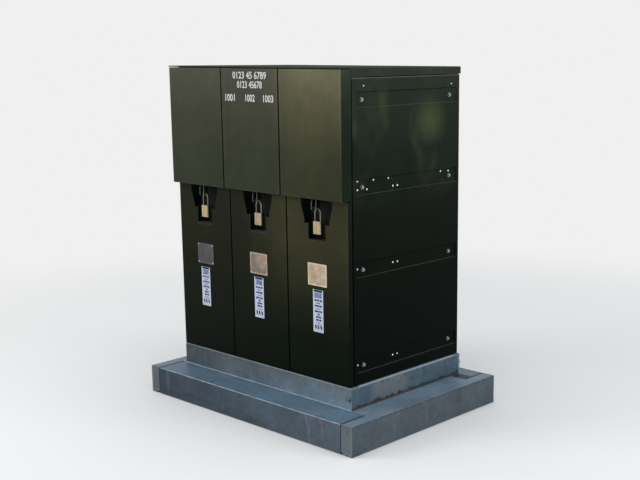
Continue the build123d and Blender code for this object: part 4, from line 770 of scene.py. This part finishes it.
assign(plated_finish("tank_steel", (0.42, 0.43, 0.43), 0.30, 0.9), "gas_tank")
assign(brass_finish("bare_copper", (0.60, 0.27, 0.14), 0.3), "busbars", "cable_contacts", "earth_contacts", "earth_bar")
assign(paint_finish("cast_resin", plain_coat((0.16, 0.045, 0.03)), gloss=0.5, rough=0.3, dust=0.0)[0], "cable_bushings",
       *[f"switch_rotor_{way}" for way in ways])
assign(plated_finish("inner_zinc", (0.30, 0.34, 0.37), 0.45, 0.5), "clamp_rail", "gland_plate")

# Face of the switchgear: screened mimic lines, dial, lamp windows and screws on the enamelled
# sheet, too thin to touch what turns in front of it. Everything here is typical of such a face.
fascia_low, fascia_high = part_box("mechanism_fascia")
fascia_face = fascia_low.y
mimic_thick = 0.0004
mimic_wide = 0.006
mimic_aside = -0.066
mimic_rail = 1.452
mimic_stop = 1.330
mimic_stub = 1.270
mimic_earth = 1.240
mimic_foot = 1.100
ground_aside = 0.036
earth_wide = 0.0235
mimic_black = plain_coat((0.012, 0.012, 0.013))
mimic_ink = paint_finish("mimic_black", mimic_black, gloss=0.3, rough=0.4, dust=0.0)[0]


def face_block(name, middle, rise, wide, tall, front=fascia_face, thick=mimic_thick):
    """A flat block on the fascia, or on what stands in front of it."""
    return add_block(name, (middle - wide / 2, front - thick, rise - tall / 2),
                     (middle + wide / 2, front, rise + tall / 2))


line_half = mimic_wide / 4
lines = [face_block("mimic_rail", way_middle(2) + mimic_aside, mimic_rail, 2 * way_pitch + 2 * line_half, mimic_wide)]
for way in ways:
    line = way_middle(way) + mimic_aside
    feed_top = mimic_rail - mimic_wide / 2
    feed_foot = mimic_stop + line_half
    load_top = mimic_stub - line_half
    ground = line - ground_aside
    lines += [face_block("feed", line, (feed_top + feed_foot) / 2, 2 * line_half, feed_top - feed_foot),
              face_block("load", line, (load_top + mimic_foot) / 2, 2 * line_half, load_top - mimic_foot),
              face_block("stop", line, mimic_stop, 0.022, 2 * line_half),
              face_block("stub", line, mimic_stub, 0.016, 2 * line_half),
              face_block("earth", ground + line_half + earth_wide / 2, mimic_earth, earth_wide, 2 * line_half),
              face_block("ground", ground, mimic_earth, 2 * line_half, 0.024)]
mimic = join("mimic_lines", lines)
soften(mimic, 0.0001, 1)
dress(mimic, mimic_ink, "cabinet")

screw_radius = 0.005
screw_rise = 0.0015
screws = []
for reach in (fascia_low.x + 0.018, way_middle(1) + way_pitch / 2, way_middle(2) + way_pitch / 2, fascia_high.x - 0.018):
    for height in (fascia_low.z + 0.016, fascia_high.z - 0.016):
        screws.append(rivet_head(Vector((reach, fascia_face, height)), Vector((0, -1, 0)), screw_radius, screw_rise))
dress(join("fascia_screws", screws), plated, "cabinet")

window_low, window_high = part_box("voltage_indicators")
window_radius = 0.0042
window_white = paint_finish("window_white", plain_coat((0.62, 0.62, 0.58)), gloss=0.5, rough=0.2, dust=0.0)[0]
windows = []
for way in ways:
    for step in (-1, 0, 1):
        place = Vector((way_middle(way) + 0.028 * step, window_low.y, window_high.z - 0.010))
        windows.append(rivet_head(place, Vector((0, -1, 0)), window_radius, screw_rise))
dress(join("indicator_lamps", windows), window_white, "cabinet")

dial_ink = paint_finish("dial_ink", mimic_black, gloss=0.3, rough=0.4, dust=0.0)[0]
dial_depth = 0.019
dial_centre = Vector((way_middle(1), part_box("gauge_case")[0].y + dial_depth, 1.405))
dial_ring = 0.0255
dial_edge = 0.0289
dial_white = (0.74, 0.74, 0.71)
gauge_finish = plated_finish("gauge_steel", (0.30, 0.30, 0.30), 0.25, 0.3)
tree = gauge_finish.node_tree
shader = tree.nodes["Principled BSDF"]
tone = shader.inputs["Base Color"].links[0].from_socket
away = add_node(tree, "ShaderNodeVectorMath", {0: spot(tree), 1: dial_centre}, operation="DISTANCE")
on_dial = calculate(tree, "MULTIPLY", ramp(tree, away.outputs["Value"], dial_edge + 0.0002, dial_edge),
                    facing(tree, (0, -1, 0), 0.5, 0.9))
tree.links.new(mix_tones(tree, on_dial, tone, dial_white), shader.inputs["Base Color"])
assign(gauge_finish, "gauge_case")
dial_marks = []
for step in range(9):
    turn = math.radians(-120 + 30 * step)
    mark = face_block(f"dial_mark_{step}", dial_centre.x, dial_centre.z + dial_ring, 0.0016, 0.0050,
                      dial_centre.y, 0.0003)
    select_only(mark)
    bpy.ops.transform.rotate(value=-turn, orient_axis="Y", center_override=dial_centre)
    bpy.ops.object.transform_apply(location=True, rotation=True, scale=True)
    dial_marks.append(mark)
marks = join("dial_marks", dial_marks)
soften(marks, 0.0001, 1)
dress(marks, dial_ink, "cabinet")

# Floor: a plain pale sheet under the unit. Near the unit it takes the light and the shadow, and
# further off it turns to the backdrop's own tone, so that no edge shows.
backdrop_tone = (0.87, 0.87, 0.87, 1)
floor_near = 1.3
floor_far = 4.2


def seen_ray(tree):
    """1 for what the camera sees, itself or in metal and glass."""
    path = add_node(tree, "ShaderNodeLightPath")
    shown = calculate(tree, "MAXIMUM", path.outputs["Is Camera Ray"], path.outputs["Is Glossy Ray"])
    return calculate(tree, "MAXIMUM", shown, path.outputs["Is Transmission Ray"])


bpy.ops.object.select_all(action="DESELECT")
bpy.ops.mesh.primitive_plane_add(size=60, location=(0, 0, 0))
floor = bpy.context.object
floor.name = "floor"
made, tree, shader = new_finish("pale_floor")
shader.inputs["Base Color"].default_value = (0.72, 0.72, 0.71, 1)
shader.inputs["Roughness"].default_value = 0.85
backdrop = add_node(tree, "ShaderNodeEmission", {"Color": backdrop_tone, "Strength": 1.0})
away = add_node(tree, "ShaderNodeVectorMath", {0: spot(tree)}, operation="LENGTH")
distant = ramp(tree, away.outputs["Value"], floor_near, floor_far, curve="SMOOTHSTEP")
blend = add_node(tree, "ShaderNodeMixShader", {"Fac": calculate(tree, "MULTIPLY", distant, seen_ray(tree)),
                                               1: shader.outputs["BSDF"], 2: backdrop.outputs["Emission"]})
tree.links.new(blend.outputs["Shader"], tree.nodes["Material Output"].inputs["Surface"])
floor.data.materials.append(made)

# Light: a pale world and three large soft lamps, at a level where a colour renders as written.
world = bpy.data.worlds.new("studio")
bpy.context.scene.world = world
world.use_nodes = True
tree = world.node_tree
sky = tree.nodes["Background"]
sky.inputs["Color"].default_value = (0.90, 0.94, 1.0, 1)
sky.inputs["Strength"].default_value = 0.55
wall = add_node(tree, "ShaderNodeBackground", {"Color": backdrop_tone, "Strength": 1.0})
blend = add_node(tree, "ShaderNodeMixShader", {"Fac": seen_ray(tree), 1: sky.outputs["Background"],
                                               2: wall.outputs["Background"]})
tree.links.new(blend.outputs["Shader"], tree.nodes["World Output"].inputs["Surface"])


def soft_lamp(name, place, aim, size, power, tone):
    lamp = bpy.data.lights.new(name, "AREA")
    lamp.shape = "RECTANGLE"
    lamp.size, lamp.size_y = size
    lamp.energy = power
    lamp.color = tone
    holder = bpy.data.objects.new(name, lamp)
    bpy.context.scene.collection.objects.link(holder)
    holder.location = place
    holder.rotation_euler = (Vector(aim) - Vector(place)).to_track_quat("-Z", "Y").to_euler()


soft_lamp("front_lamp", (-3.5, -4.5, 3.4), (0, 0, 0.8), (3.0, 2.5), 150, (1.0, 0.97, 0.92))
soft_lamp("top_lamp", (0.5, -0.5, 5.0), (0, 0, 0.5), (4.0, 4.0), 150, (0.95, 0.97, 1.0))
soft_lamp("side_lamp", (4.5, 1.5, 2.6), (0, 0, 0.8), (2.0, 2.5), 60, (0.92, 0.96, 1.0))

# Camera: fitted to the cabinet's edges in the photograph, a 61 mm view from eye height.
camera_place = Vector((3.5055, -3.4180, 1.6034))
camera_turn = (1.6765235, 0.6487121, -0.5415325)
focal_pixels = 1088.594
centre_column = 375.0
centre_row = 262.3
picture_wide = 640
picture_tall = 480
sensor = 36.0
lens = bpy.data.cameras.new("photo_lens")
lens.sensor_fit = "HORIZONTAL"
lens.sensor_width = sensor
lens.lens = focal_pixels / picture_wide * sensor
lens.shift_x = -(centre_column - picture_wide / 2) / picture_wide
lens.shift_y = (centre_row - picture_tall / 2) / picture_wide
camera = bpy.data.objects.new("photo_camera", lens)
bpy.context.scene.collection.objects.link(camera)
spin = Vector(camera_turn)
to_camera = Matrix.Rotation(spin.length, 3, spin.normalized())
right, down, ahead = to_camera.row
facing_out = Matrix((right, -down, -ahead)).transposed().to_4x4()
camera.matrix_world = Matrix.Translation(camera_place) @ facing_out
bpy.context.scene.camera = camera
bpy.context.scene.view_settings.view_transform = "Standard"
